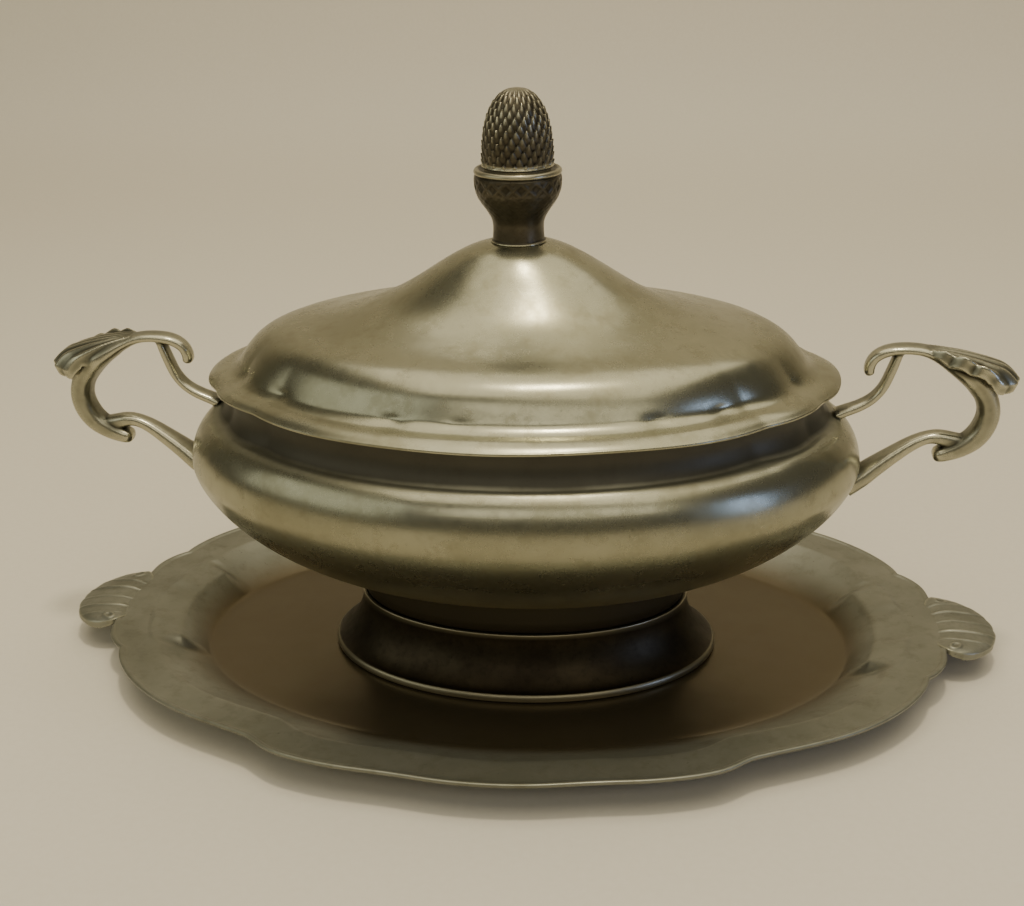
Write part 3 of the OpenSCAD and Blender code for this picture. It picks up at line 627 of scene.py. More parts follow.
def lug_grids(rows=110, across=240):
    """The tongue's upper and lower face."""
    u, v = np.meshgrid(np.linspace(0, 1, rows), np.linspace(1, -1, across), indexing="ij")
    # A little narrower at the root, and a half oval with shallow scallops at the tip
    y = v * LUG_HALF * (0.86 + 0.14 * np.sin(np.pi * np.clip(u, 0, 0.5)))
    edge = stand_edge(y)
    scallop = 1 - 0.025 * (1 - np.abs(np.cos(np.pi / 2 * LUG_SCALLOPS * (v + 1))))
    root = edge - LUG_ON_BAND * (1 - 0.75 * v * v)
    x = root + (STAND_A + LUG_REACH * np.sqrt(1 - 0.985 * v * v) * scallop - root) * u
    # Both faces bend down towards the tip and the sides
    out = x - edge
    roll = 0.9 * u ** 8 + 0.9 * np.abs(v) ** 10 * np.clip(out / 4, 0, 1)
    plain = np.interp(out, lug_line[:, 0], lug_line[:, 1]) - roll
    thick = np.interp(out, lug_line[:, 0], lug_line[:, 2])
    # Ribs grow out of the band and die away at the tip, and a curl lies in each root corner
    fade = np.clip(u / 0.2, 0, 1) * np.sqrt(np.clip((1.04 - u) / 0.3, 0, 1))
    relief = sum(share * np.exp(-(((v - place) * LUG_HALF / LUG_RIB_WIDE) ** 2)) for place, share in lug_ribs)
    for hand in (-1, 1):
        from_curl = np.hypot(out - 3, y - hand * LUG_HALF * 0.83)
        ring = np.exp(-(((from_curl - LUG_CURL_R) / LUG_CURL_WIDE) ** 2))
        relief = np.maximum(relief * np.clip(from_curl / LUG_CURL_R - 0.2, 0, 1), ring * LUG_CURL / LUG_RIB)
    top = np.stack([x, y, plain + LUG_RIB * relief * fade], axis=2)
    return top, np.stack([x, y, plain - thick], axis=2)


right_lug = cast("stand_lug_right_tongue", [sheet_form("tongue", *lug_grids())], voxel_mm=0.28, passes=2)
mark_wear(right_lug, rounds=30, reach_mm=0.7)
left_lug = half_turned(right_lug, "stand_lug_left_tongue")
seat(right_lug, "stand", "stand_lug_right", lug_pewter)
seat(left_lug, "stand", "stand_lug_left", lug_pewter)

# %% [markdown]
# ## The foot
# A low oval foot, hollow below: a flared edge that is rubbed bright where hands slide the tureen,
# then a hollow curve up to a narrow ledge under the bowl. Its section is a closed loop, because the
# wall is about as thick everywhere.

# %% The foot
FOOT_A, FOOT_B, FOOT_Z, FOOT_HIGH, FOOT_EDGE, FOOT_WALL = 79, 55.5, 2.3, 23, 3.2, 2.4
FOOT_WAIST = 12
BOWL_SIDES = 288
PLAIN = []  # an edge without notches


def foot_at(inset, z):
    """A station of the foot, by its distance from the widest line."""
    return (FOOT_A - inset, FOOT_B - inset, FOOT_Z + z, 0)


cove = FOOT_HIGH - FOOT_EDGE
foot_profile = [
    foot_at(0.6, 0), foot_at(0.1, 0.3), foot_at(0, FOOT_EDGE * 0.4), foot_at(0.1, FOOT_EDGE * 0.7),
    foot_at(0.8, FOOT_EDGE), foot_at(1.6, FOOT_EDGE),
    foot_at(FOOT_WAIST * 0.35, FOOT_EDGE + cove * 0.08),
    foot_at(FOOT_WAIST * 0.75, FOOT_EDGE + cove * 0.35), foot_at(FOOT_WAIST, FOOT_EDGE + cove * 0.75),
    foot_at(FOOT_WAIST, FOOT_HIGH - 0.6), foot_at(FOOT_WAIST, FOOT_HIGH - 0.1),
    foot_at(FOOT_WAIST + 0.5, FOOT_HIGH), foot_at(FOOT_WAIST + FOOT_WALL, FOOT_HIGH),
    foot_at(FOOT_WAIST + FOOT_WALL, FOOT_EDGE + cove * 0.6),
    foot_at(FOOT_WAIST * 0.35 + FOOT_WALL, 0.2), foot_at(FOOT_WAIST * 0.35 + FOOT_WALL - 0.6, 0),
]
foot_rings = [oval(s, PLAIN, BOWL_SIDES) for s in smoothed(foot_profile, rounds=3, looped=True)]
foot = skin("foot", foot_rings, looped=True)
mark_wear(foot, rounds=30, reach_mm=0.5)
seat(foot, "tureen", "foot_ring", foot_pewter_painted_shade)

# %% [markdown]
# ## The lower bowl
# The bowl was made in two halves that are soldered at the widest line, where both walls stand upright,
# so the seam doesn't show. The lower half rises from a collar on the foot and swells to the belly, on a
# curve that is slacker than an ellipse. A power of sine and cosine gives that curve without control
# points to adjust.

# %% The lower bowl
BELLY_A, BELLY_B, COLLAR_A, COLLAR_B, COVE = 132, 94, 67, 43.5, 1.5
BOWL_Z, BELLY_Z, SEAM_Z = 25.3, 40.3, 85.3
WALL, FULLNESS = 2.0, 1.55


def lower_at(angle, wall):
    """A station of the swelling wall, from the collar at 0 degrees to the seam at 90."""
    out = math.sin(angle) ** (2 / FULLNESS)
    up = 1 - max(0, math.cos(angle)) ** (2 / FULLNESS)
    base = BELLY_Z + wall
    a = COLLAR_A + (BELLY_A - COLLAR_A) * out - wall
    b = COLLAR_B + (BELLY_B - COLLAR_B) * out - wall
    return (a, b, base + (SEAM_Z - base) * up, 0)


def collar_at(up, wall):
    """A station of the upright collar."""
    return (COLLAR_A - COVE - wall, COLLAR_B - COVE - wall, BOWL_Z + (BELLY_Z - BOWL_Z) * up, 0)


quarter_turn = np.radians(np.linspace(0, 90, 49))
lower_rows = [
    collar_at(1, WALL), collar_at(0.02, WALL), collar_at(0, WALL - 0.5), collar_at(0, 0.4),
    *[collar_at(up, 0) for up in (0.03, 0.3, 0.6, 0.85, 0.97)],
    *[lower_at(t, 0) for t in quarter_turn], *[lower_at(t, WALL) for t in quarter_turn[::-1]],
]
lower = skin("bowl_below_the_seam", [oval(s, PLAIN, BOWL_SIDES) for s in lower_rows])
seat(lower, "tureen", "bowl_lower", belly_pewter_dull_and_painted_light)

# %% [markdown]
# ## The shoulder and neck
# The upper half turns in over the shoulder and then stands up as a hollow neck, whose notched edge
# matches the lid. The notches grow from nothing at the seam. The outer face is smoothed as one line,
# so that the light runs over the bend without a break.

# %% The upper bowl
NECK_A, NECK_B, NECK_Z, NECK_HOLLOW = 117.5, 82.5, 104.3, 0.9
MOUTH_Z, MOUTH_DIP = 119.3, 2.6
MOUTH_NOTCHES = [(20, 0.7, 6, 6, 1.4), (40, 1, 7, 12, 1.2)]


def shoulder_at(angle, wall):
    """A station of the shoulder, from the seam at 0 degrees to the neck at 90."""
    turn_in = 1 - math.cos(angle)
    a = BELLY_A + (NECK_A - BELLY_A) * turn_in - wall
    b = BELLY_B + (NECK_B - BELLY_B) * turn_in - wall
    return (a, b, SEAM_Z + (NECK_Z - wall - SEAM_Z) * math.sin(angle), MOUTH_DIP * turn_in ** 2)


def neck_at(inset, z):
    """A station of the neck."""
    return (NECK_A - inset, NECK_B - inset, z, MOUTH_DIP)


neck_out = smoothed([
    *[shoulder_at(t, 0) for t in np.radians([58, 63, 68, 73])],
    neck_at(-2.6, NECK_Z - 0.5), neck_at(-1.2, NECK_Z + 1), neck_at(0, NECK_Z + 3.2),
    neck_at(NECK_HOLLOW, NECK_Z + 6.5), neck_at(NECK_HOLLOW * 0.7, NECK_Z + 10),
    neck_at(0.1, MOUTH_Z - 1.5), neck_at(0, MOUTH_Z - 0.3), neck_at(0.2, MOUTH_Z), neck_at(WALL, MOUTH_Z),
], rounds=3)
upper_rows = [
    *[shoulder_at(t, 0) for t in np.radians(np.linspace(0, 56, 29))], *neck_out,
    *[shoulder_at(t, WALL) for t in np.radians(np.linspace(90, 0, 31))],
]
upper_rings = [oval(s, MOUTH_NOTCHES, BOWL_SIDES) for s in upper_rows]
upper = skin("bowl_above_the_seam", upper_rings, looped=True)
seat(upper, "tureen", "bowl_upper", neck_pewter_painted_shade)

# %% [markdown]
# ## The handles
# Each handle is a C-scroll: it starts in a stub by the lid, arches over as a flat strap, runs under
# a shell leaf for the thumb and down a stout grip to a blunt hook. Two arms tie it to the bowl.
# Their stations are given as shares of the handle's reach and height, as in the solid, and a smooth
# curve runs through all of them. A Bezier curve with a bevel could follow the same line, but its
# thickness and width couldn't change apart from each other.

# %% Stations and the curve through them
HANDLE_REACH, HANDLE_HIGH, ARCH_ABOVE_MOUTH = 191.0, 47.0, 15
SCROLL = 4.0
ARCH_Z = MOUTH_Z + ARCH_ABOVE_MOUTH - SCROLL / 2


def placed(stations):
    """Stations in millimetres from shares of the handle's reach and height."""
    return [(BELLY_A + (HANDLE_REACH - BELLY_A) * out, ARCH_Z - HANDLE_HIGH * (1 - up), thick, wide)
            for out, up, thick, wide in stations]


def through(stations, steps=10):
    """The smooth curve through all stations."""
    p = np.asarray(stations, float)
    p = np.concatenate([p[:1], p, p[-1:]])
    u = np.linspace(0, 1, steps, endpoint=False)[:, None]
    rows = []
    for a, b, c, d in zip(p, p[1:], p[2:], p[3:]):
        square, cube = 2 * a - 5 * b + 4 * c - d, 3 * b - a - 3 * c + d
        rows.append(0.5 * (2 * b + (c - a) * u + square * u ** 2 + cube * u ** 3))
    return np.concatenate([*rows, p[-1:]])


print("handle reaches", HANDLE_REACH, "mm, arch at", ARCH_Z, "mm")

# %% [markdown]
# ## Where a handle meets the bowl
# Both arms are soldered to the bowl's curved end. Their last points are pushed out to that curve, with
# a thin gap for the solder. A boolean cut against the bowl would give the same face with a ragged edge.

# %% The bowl's end
def bowl_end(y, z):
    """How far out the bowl reaches at this place near its end."""
    drop = np.abs(1 - (z - BELLY_Z) / (SEAM_Z - BELLY_Z))
    low = np.maximum(0, 1 - drop ** FULLNESS) ** (1 / FULLNESS)
    high = np.sqrt(np.maximum(0, 1 - ((z - SEAM_Z) / (NECK_Z - SEAM_Z)) ** 2))
    below = z < SEAM_Z
    a = np.where(below, COLLAR_A + (BELLY_A - COLLAR_A) * low, NECK_A + (BELLY_A - NECK_A) * high)
    b = np.where(below, COLLAR_B + (BELLY_B - COLLAR_B) * low, NECK_B + (BELLY_B - NECK_B) * high)
    return a * np.sqrt(np.maximum(0, 1 - (y / b) ** 2))


print("the bowl's end lies at", float(bowl_end(0, SEAM_Z)), "mm on the seam")

# %% [markdown]
# ## Strokes
# A pattern for a scroll is filed from bars, so its section is flat-sided with round corners. That is a
# circle whose sine and cosine are raised to a power under 1, with its own thickness and width at every
# station.

# %% One stroke
SQUARENESS = 0.75


def stroke(name, stations, sides=32, on_bowl=False):
    """A bar along stations of place, height, thickness and width, flat-sided like a filed casting."""
    c = through(stations)
    run = np.gradient(c[:, :2], axis=0)
    side = np.stack([run[:, 1], -run[:, 0]], axis=1) / np.linalg.norm(run, axis=1)[:, None]
    t = (np.arange(sides) + 0.5) * 2 * np.pi / sides
    n = np.sign(np.cos(t)) * np.abs(np.cos(t)) ** SQUARENESS
    w = np.sign(np.sin(t)) * np.abs(np.sin(t)) ** SQUARENESS
    x = c[:, 0:1] + side[:, 0:1] * n * c[:, 2:3] / 2
    z = c[:, 1:2] + side[:, 1:2] * n * c[:, 2:3] / 2
    y = w * c[:, 3:4] / 2
    if on_bowl:
        x = np.maximum(x, bowl_end(y, z) + SOLDER)
    return skin(name, np.stack([x, y, z], axis=2))


print(stroke.__name__, "makes:", stroke.__doc__)

# %% [markdown]
# ## The scroll and its two arms
# The scroll runs from the stub over the arch and down the grip to the hook. The upper arm comes off the
# shoulder and joins the arch from below, and the lower arm ties the hook to the belly. All three overlap
# where they meet, so that they melt into one casting.

# %% Stations of the scroll and its arms
GRIP, GRIP_WIDE = 8.5, 11.0
ARM_WIDE = GRIP_WIDE * 0.65
scroll = placed([
    (0.03, 0.735, SCROLL * 0.5, ARM_WIDE * 0.6), (0.027, 0.755, SCROLL * 0.95, ARM_WIDE * 0.9),
    (0.025, 0.8, SCROLL, ARM_WIDE), (0.045, 0.865, SCROLL, ARM_WIDE), (0.09, 0.915, SCROLL, ARM_WIDE * 1.1),
    (0.16, 0.948, SCROLL * 0.95, GRIP_WIDE * 0.8), (0.26, 0.96, SCROLL * 0.9, GRIP_WIDE * 0.85),
    (0.36, 0.947, SCROLL * 0.95, GRIP_WIDE * 0.9), (0.45, 0.905, SCROLL * 1.15, GRIP_WIDE * 1.1),
    (0.54, 0.845, SCROLL * 1.6, GRIP_WIDE * 1.4), (0.635, 0.77, GRIP * 0.95, GRIP_WIDE * 1.6),
    (0.715, 0.68, GRIP * 1.05, GRIP_WIDE * 1.35), (0.775, 0.565, GRIP, GRIP_WIDE * 1.1),
    (0.8, 0.44, GRIP, GRIP_WIDE), (0.78, 0.315, GRIP, GRIP_WIDE),
    (0.725, 0.205, GRIP * 0.97, GRIP_WIDE * 0.95),
    (0.645, 0.13, GRIP * 0.9, GRIP_WIDE * 0.9), (0.56, 0.08, GRIP * 0.78, GRIP_WIDE * 0.85),
    (0.495, 0.052, GRIP * 0.62, GRIP_WIDE * 0.75), (0.472, 0.045, GRIP * 0.3, GRIP_WIDE * 0.45),
])
shoulder_seat, belly_seat = NECK_Z - 0.8, SEAM_Z - 11
upper_arm = [(float(bowl_end(0, shoulder_seat)), shoulder_seat, SCROLL, GRIP_WIDE * 0.85)] + placed([
    (-0.1, 0.425, SCROLL, ARM_WIDE * 1.15), (-0.017, 0.47, SCROLL * 0.95, ARM_WIDE * 1.1),
    (0.06, 0.535, SCROLL * 0.9, ARM_WIDE * 1.05), (0.122, 0.635, SCROLL * 0.9, ARM_WIDE),
    (0.168, 0.78, SCROLL * 0.9, ARM_WIDE), (0.21, 0.94, SCROLL * 0.8, ARM_WIDE * 0.95),
])
lower_arm = placed([
    (0.67, 0.16, SCROLL * 1.5, ARM_WIDE), (0.58, 0.18, SCROLL * 1.6, ARM_WIDE * 1.05),
    (0.505, 0.205, SCROLL * 1.35, ARM_WIDE * 1.05), (0.43, 0.2, SCROLL * 1.15, ARM_WIDE),
    (0.34, 0.15, SCROLL * 1.25, ARM_WIDE * 1.1), (0.23, 0.055, SCROLL * 1.45, GRIP_WIDE * 0.85),
    (0.11, -0.06, SCROLL * 1.7, GRIP_WIDE * 1.05), (0.02, -0.15, SCROLL * 1.9, GRIP_WIDE * 1.25),
]) + [(float(bowl_end(0, belly_seat)), belly_seat, SCROLL * 2.1, GRIP_WIDE * 1.4)]
print("stations:", len(scroll), "on the scroll,", len(upper_arm), "and", len(lower_arm), "on its arms")

# %% [markdown]
# ## The thumb leaf
# A ribbed shell leaf lies on the scroll where the thumb presses. One side is curled up in lobes, the
# other hangs down to the grip, and the lip bends over. As on the lugs, u runs from the root to the lip and
# v across, and every feature is a term of one height.

# %% The leaf's two faces
LEAF_CURLED, LEAF_HANGING, LEAF_RIDGE, LEAF_RIDGES, LEAF_THICK = 13.0, 9.0, 0.8, 5, 5.5
LIP_CURL, SIDE_CURL = 3.2, 1.5


def leaf_grids(rows=60, across=140):
    """The leaf's upper and lower face."""
    u, v = np.meshgrid(np.linspace(0, 1, rows), np.linspace(1, -1, across), indexing="ij")
    (x0, z0, _, _), (x1, z1, _, _) = placed([(0.4, 0.97, 0, 0), (0.97, 0.8, 0, 0)])
    # The lip is scalloped between the ridges, and its corners draw back
    wave = np.abs(np.cos(np.pi / 2 * LEAF_RIDGES * (v + 1)))
    reach = u * (1 - 0.1 * v ** 2 - 0.16 * v ** 4 - 0.04 * (1 - wave) * u ** 6)
    lobes = np.abs(np.sin(3.3 * np.pi * u)) * np.sin(np.pi * u) ** 0.5
    # Narrow at the root and full at the lip, with lobes along the curled side
    curled, hanging = np.clip(-v, 0, 1), np.clip(v, 0, 1)
    x = x0 + (x1 - x0) * reach
    y = LEAF_HANGING * hanging - LEAF_CURLED * curled * (1 + 0.09 * (lobes - 0.6) * curled ** 3)
    y *= 0.36 + 0.64 * np.sin(np.pi / 2 * u)
    # Ridges, the bent lip, and sides that curl up or hang down
    rib = LEAF_RIDGE * wave ** 1.5 * np.sin(np.pi * (0.2 + 0.6 * u))
    lip = LIP_CURL * np.clip((u - 0.78) / 0.22, 0, 1) ** 2
    side = SIDE_CURL * curled ** 6 * lobes - SCROLL * u * (0.6 * curled ** 2 + 1.1 * hanging ** 2)
    z = z0 + (z1 - z0) * reach + SCROLL * 0.3 * np.sin(np.pi * u) + rib + side - lip
    top = np.stack([x, y, z], axis=2)
    # Thin at the root, thickest near the middle
    grown = 0.4 + 0.6 * np.sin(np.pi / 2 * np.clip(u / 0.45, 0, 1))
    thick = LEAF_THICK * (grown * (1 - 0.3 * u))[:, :, None]
    return top, top - thick * [0.45, 0, 1]


print("leaf of", LEAF_THICK, "mm with", LEAF_RIDGES, "ridges")

# %% [markdown]
# ## The finished handles
# The strokes and the leaf are melted together and filed smooth. The wear measured on the result makes
# the grooves of the leaf dark and its ridges bright.

# %% Casting the handles
right_handle = cast("handle_right_scroll", [
    stroke("scroll", scroll), stroke("upper", upper_arm, on_bowl=True),
    stroke("lower", lower_arm, on_bowl=True), sheet_form("leaf", *leaf_grids()),
], voxel_mm=0.4, passes=5)
mark_wear(right_handle, rounds=30, reach_mm=0.4)
left_handle = half_turned(right_handle, "handle_left_scroll")
seat(right_handle, "tureen", "handle_right", cast_pewter)
seat(left_handle, "tureen", "handle_left", cast_pewter)

# %% [markdown]
# ## The lid
# The cover was raised from one sheet: a thin flange, a wall that flares out of it, a broad crest and
# a bell that climbs to the knob. Its flange repeats the notches of the bowl's mouth, and they fade
# quickly up the wall. The outside is smoothed finely; the inside is hardly seen and needs fewer rings.

# %% The lid's profile
FLANGE_Z, LID_WALL, OVERHANG, LIP_DROOP = 119.6, 1.8, 5.5, 2.0
LIP_WIDE = OVERHANG - 0.8
DOME_A, DOME_B, CROWN_R = 111.4, 76.4, 11.75
CREST, CROWN = 19.0, 49.0
LID_TOP, LIP_Z = FLANGE_Z + LID_WALL, FLANGE_Z - LIP_DROOP
CROWN_Z = LID_TOP + CROWN
STUD_HOLE_R = 2.25
# Share of the way from the dome's foot to the crown, and of the height above the crest
bell = [
    (0.43, 0.1), (0.555, 0.22), (0.65, 0.37), (0.735, 0.55), (0.82, 0.74), (0.9, 0.89), (0.95, 0.955),
    (1, 1)]
dome_line = [
    (0, 0), (0.025, CREST * 0.29), (0.065, CREST * 0.56), (0.115, CREST * 0.76), (0.19, CREST * 0.9),
    (0.31, CREST), *[(share, CREST + (CROWN - CREST) * up) for share, up in bell],
]


def dome_at(share, z, wall):
    """A station of the dome, from its foot at share 0 to the crown at 1."""
    a = DOME_A + (CROWN_R - DOME_A) * share - wall
    b = DOME_B + (CROWN_R - DOME_B) * share - wall
    return (a, b, z, MOUTH_DIP * (1 - share) ** 14)


def flange_at(inset, z):
    """A station of the flange, by its distance from the edge."""
    return (NECK_A + OVERHANG - inset, NECK_B + OVERHANG - inset, z, MOUTH_DIP)


lid_profile = [
    flange_at(LIP_WIDE, FLANGE_Z), flange_at(1, LIP_Z + 0.35), flange_at(0.2, LIP_Z + 0.05),
    flange_at(0, LIP_Z + 0.15), flange_at(0, LIP_Z + 0.9), flange_at(0.15, LIP_Z + 1.1),
    flange_at(0.6, LIP_Z + 1.3), flange_at(2, LID_TOP - 1.5), flange_at(3.6, LID_TOP - 0.8),
    flange_at(LIP_WIDE + 1, LID_TOP - 0.2), (DOME_A + 3.2, DOME_B + 3.2, LID_TOP + 0.2, MOUTH_DIP),
    (DOME_A + 1.4, DOME_B + 1.4, LID_TOP + 1.2, MOUTH_DIP), dome_at(0.006, LID_TOP + 2.6, 0),
    *[dome_at(share, LID_TOP + z, 0) for share, z in dome_line[1:]],
]
lid_inside = [
    (STUD_HOLE_R, STUD_HOLE_R, CROWN_Z, 0), (STUD_HOLE_R, STUD_HOLE_R, CROWN_Z - LID_WALL, 0),
    *[dome_at(share, FLANGE_Z + z, LID_WALL) for share, z in dome_line[::-1]],
]
lid_rows = [*smoothed(lid_profile, rounds=3), *smoothed(lid_inside, rounds=1)]
print("lid of", len(lid_rows), "rings, crown at", round(CROWN_Z, 1), "mm")

# %% [markdown]
# ## Hammer marks
# Where the wall meets the flange the hammer left small puckers, which catch the light as short
# lens-shaped marks. The planishing hammer also left the dome a little uneven, which breaks up its
# reflections. Both are in the mesh, because they are too broad for a bump texture.

# %% Puckers and unevenness
# Angles of the puckers
PUCKERS = [22, 47, 66, 101, 118, 139, 158, 202, 221, 250, 263, 299, 314, 341]
PUCKER_DEEP, PUCKER_WIDE, PUCKER_HIGH = 1.1, 2.6, 2.2
UNEVEN = 0.1


def hammered(turn, z):
    """Puckers round the dome's root, and a slow unevenness over the dome."""
    above = z - LID_TOP
    if above < -0.2:
        return 0 * turn
    t = np.radians(turn)
    slow = np.sin(3 * t + 0.31 * z) + np.sin(5 * t - 0.23 * z + 1) + np.sin(8 * t + 0.12 * z + 2)
    deep = 0.7 + 0.3 * np.sin(np.arange(len(PUCKERS)) * 2.3)
    away = np.abs((turn[:, None] - PUCKERS + 180) % 360 - 180)
    marks = (np.exp(-((away / PUCKER_WIDE) ** 2)) * deep).sum(1)
    fade = math.exp(-((above - 1.6) / PUCKER_HIGH) ** 2)
    grown = min(1, above / 8) * min(1, (CROWN - above) / 12)
    return PUCKER_DEEP * fade * marks + UNEVEN * grown * slow


print("puckers:", len(PUCKERS), "of up to", PUCKER_DEEP, "mm")

# %% [markdown]
# ## The finished cover
# The free edge was bent by hand, so it waves up and down a little outside the neck. The wave is added to
# the rings in proportion to how far out on the flange they lie, and the rest of the lid stays level.

# %% The lid's cover
LID_SIDES, EDGE_WAVE = 400, 0.35
lid_rings = np.array([oval(s, MOUTH_NOTCHES, LID_SIDES, hammered) for s in lid_rows])
lid_turn = np.arange(LID_SIDES) * 2 * np.pi / LID_SIDES
edge_wave = np.sin(2 * lid_turn + 0.6) + 0.7 * np.sin(5 * lid_turn + 2) + 0.6 * np.sin(9 * lid_turn)
out_on_lip = np.clip(1 - (NECK_A + OVERHANG - np.array(lid_rows)[:, 0]) / LIP_WIDE, 0, 1)
lid_rings[:, :, 2] += EDGE_WAVE * out_on_lip[:, None] * edge_wave
lid = skin("lid_cover_raised", lid_rings, looped=True)
seat(lid, "lid", "lid_cover", satin_pewter)

# %% [markdown]
# ## The knob
# The lid is lifted by an acorn: a turned stem and cup with a bead on its rim, and a nut covered with
# scales. The pattern for such a casting is turned on a lathe and then carved, and the script does the
# same: a line of radii and heights goes round the axis, and a function says how deep the carving is at
# each point.

# %% Turning and carving
KNOB_SIDES = 288


def turned(name, line, relief):
    """A turned piece: radius and height along a line, with relief cut into its face."""
    turn = np.arange(KNOB_SIDES) * 2 * np.pi / KNOB_SIDES
    rings = []
    for r, z in line:
        radius = r + relief(turn, z) * min(1, r / 4)
        rings.append(np.stack([radius * np.cos(turn), radius * np.sin(turn), np.full(KNOB_SIDES, z)], axis=1))
    return skin(name, rings)


print(turned.__name__, "makes:", turned.__doc__)

# %% [markdown]
# ## The cup's carving
# The cup carries a row of sunk diamonds under its rim, and fine hatching below. Both come from two sets
# of spirals that cross, one turning left and one turning right.

# %% Lozenges on the cup
CUP_Z, ACORN_Z, CUP_RIM = CROWN_Z + 9, CROWN_Z + 28, 2.4
DIAMONDS, DIAMOND_ROW, DIAMOND_DEEP = 18, 6.0, 0.45
HATCHES, HATCH_ROW, HATCH_DEEP = 26, 1.5, 0.25


def lozenges(turn, z, around, row_high, base_z):
    """Place inside a lozenge of two crossing spirals: nearness to its middle, and how far up."""
    row = (z - base_z) / row_high
    p, q = turn * around / (2 * np.pi) + row / 2, turn * around / (2 * np.pi) - row / 2
    fp, fq = p % 1, q % 1
    edge = 2 * np.minimum(np.minimum(fp, 1 - fp), np.minimum(fq, 1 - fq))
    return edge, fp - fq


def cup_relief(turn, z):
    """A row of sunk diamonds under the rim, and fine lozenge hatching below it."""
    below = ACORN_Z - CUP_RIM - z
    if below < 0.5 or z < CUP_Z:
        return 0 * turn
    if below < DIAMOND_ROW + 0.5:
        edge, _ = lozenges(turn, z, DIAMONDS, DIAMOND_ROW / 2, z + below - 0.5)
        return -DIAMOND_DEEP * np.clip(edge * 3 - 0.5, 0, 1) * math.sin(math.pi * (below - 0.5) / DIAMOND_ROW)
    fine, up = lozenges(turn, z, HATCHES, HATCH_ROW, CUP_Z)
    fade = min(1, (z - CUP_Z) / 3)
    return fade * HATCH_DEEP * (np.sqrt(fine) * (0.6 + 0.4 * up) - 0.4)


print(DIAMONDS, "diamonds of", DIAMOND_ROW, "mm round the cup")

# %% [markdown]
# ## The cup
# A short stem swells into the cup, with a thin ring at its foot and a bead on its rim. Hands rub the bead
# and the ring and leave the rest, so the wear is held back everywhere else.

# %% The acorn's cup
STEM_R, CUP_R = 9.75, 16.5
RUBBED_LITTLE = 0.15
# Radius and height; the 0 fills the third place of a station
cup_swell = [(r, CROWN_Z + up, 0) for r, up in (
    (9.5, 5.5), (9.7, 8), (10.6, 10.2), (12.5, 13.2), (14.7, 16), (16.1, 19.2), (16.5, 22), (16.5, 24.3))]
cup_line = smoothed([
    (0.5, CROWN_Z + 0.02, 0), (STEM_R + 0.5, CROWN_Z + 0.02, 0), (STEM_R + 0.8, CROWN_Z + 0.25, 0),
    (STEM_R + 0.8, CROWN_Z + 0.6, 0), (STEM_R + 0.5, CROWN_Z + 0.9, 0), (STEM_R, CROWN_Z + 1.2, 0),
    (STEM_R, CROWN_Z + 1.8, 0), *cup_swell,
    (CUP_R - 0.1, ACORN_Z - 2.9, 0), (CUP_R - 0.6, ACORN_Z - 2.5, 0), (CUP_R - 0.6, ACORN_Z - 2.2, 0),
    (CUP_R, ACORN_Z - 1.9, 0), (CUP_R + 0.1, ACORN_Z - 1.1, 0), (CUP_R - 0.4, ACORN_Z - 0.2, 0),
    (CUP_R - 1.3, ACORN_Z, 0), (CUP_R - 2.1, ACORN_Z - 0.4, 0), (13.2, ACORN_Z - 1.6, 0),
    (0.5, ACORN_Z - 1.7, 0),
], rounds=4, least=0.09)[:, :2]
cup = turned("finial_cup_turned", cup_line, cup_relief)


def rubbed_on_cup(z):
    """Hands reach the rim's bead and the ring at the stem's foot."""
    return np.where((z > ACORN_Z - CUP_RIM) | (z < CROWN_Z + 1.2), 1.0, RUBBED_LITTLE)


mark_wear(cup, rounds=40, reach_mm=0.3, rubbed=rubbed_on_cup)
seat(cup, "lid", "finial_cup", dark_pewter)

# %% [markdown]
# ## The nut
# Rows of pointed scales overlap upwards like shingles. Each scale grows from its root to a tip that lies
# over the roots of the next row, and every row is turned a little against the one below. At each height
# the highest of the scales that reach it wins, so no scale cuts through another.

# %% The acorn's scaled nut
NUT_R, NUT_HIGH, SCALES, SCALE_ROWS, SCALE_LONG, SCALE_RISE = 13.9, 29.0, 20, 12, 2.3, 1.4
NUT_FULLNESS, TIP, PLAIN_FOOT, SCALE_TWIST = 2.9, 0.99, 0.06, 0.57


def nut_radius(u):
    """The nut's radius under its scales, at a share of its height."""
    return (NUT_R - SCALE_RISE) * math.sqrt(max(0, 1 - u ** NUT_FULLNESS))


def nut_relief(turn, z):
    """How far the scales stand out."""
    u = (z - ACORN_Z) / NUT_HIGH
    if u < PLAIN_FOOT or u > TIP:
        return 0 * turn
    row = u * SCALE_ROWS / TIP
    high = np.zeros_like(turn)
    for root in (math.floor(row) - back for back in range(3)):
        up = (row - root) / SCALE_LONG
        if up < 1:
            away = (turn * SCALES / (2 * np.pi) + root * SCALE_TWIST) % 1 - 0.5
            half = 0.5 * max(0.05, min(1, (1 - up) / 0.65)) ** 0.75
            high = np.maximum(high, (0.12 + 0.88 * up) * np.sqrt(np.clip(1 - (away / half) ** 2, 0, 1)))
    return SCALE_RISE * high * (1 - 0.3 * u)


nut_line = [
    (0.5, ACORN_Z - 1.4), (NUT_R - 1.4, ACORN_Z - 1.4), (NUT_R - 1.3, ACORN_Z + 0.1),
    (NUT_R - 0.6, ACORN_Z + 0.35), (NUT_R - 0.35, ACORN_Z + 0.8), (NUT_R - 0.6, ACORN_Z + 1.25),
    *[(nut_radius(u), ACORN_Z + NUT_HIGH * u) for u in np.linspace(PLAIN_FOOT, TIP, 190)],
    (nut_radius(TIP) * 0.6, ACORN_Z + NUT_HIGH * (TIP + 0.007)), (0.3, ACORN_Z + NUT_HIGH),
]
nut = turned("finial_acorn_scaled", nut_line, nut_relief)
print(SCALES, "scales in each of", SCALE_ROWS, "rows")

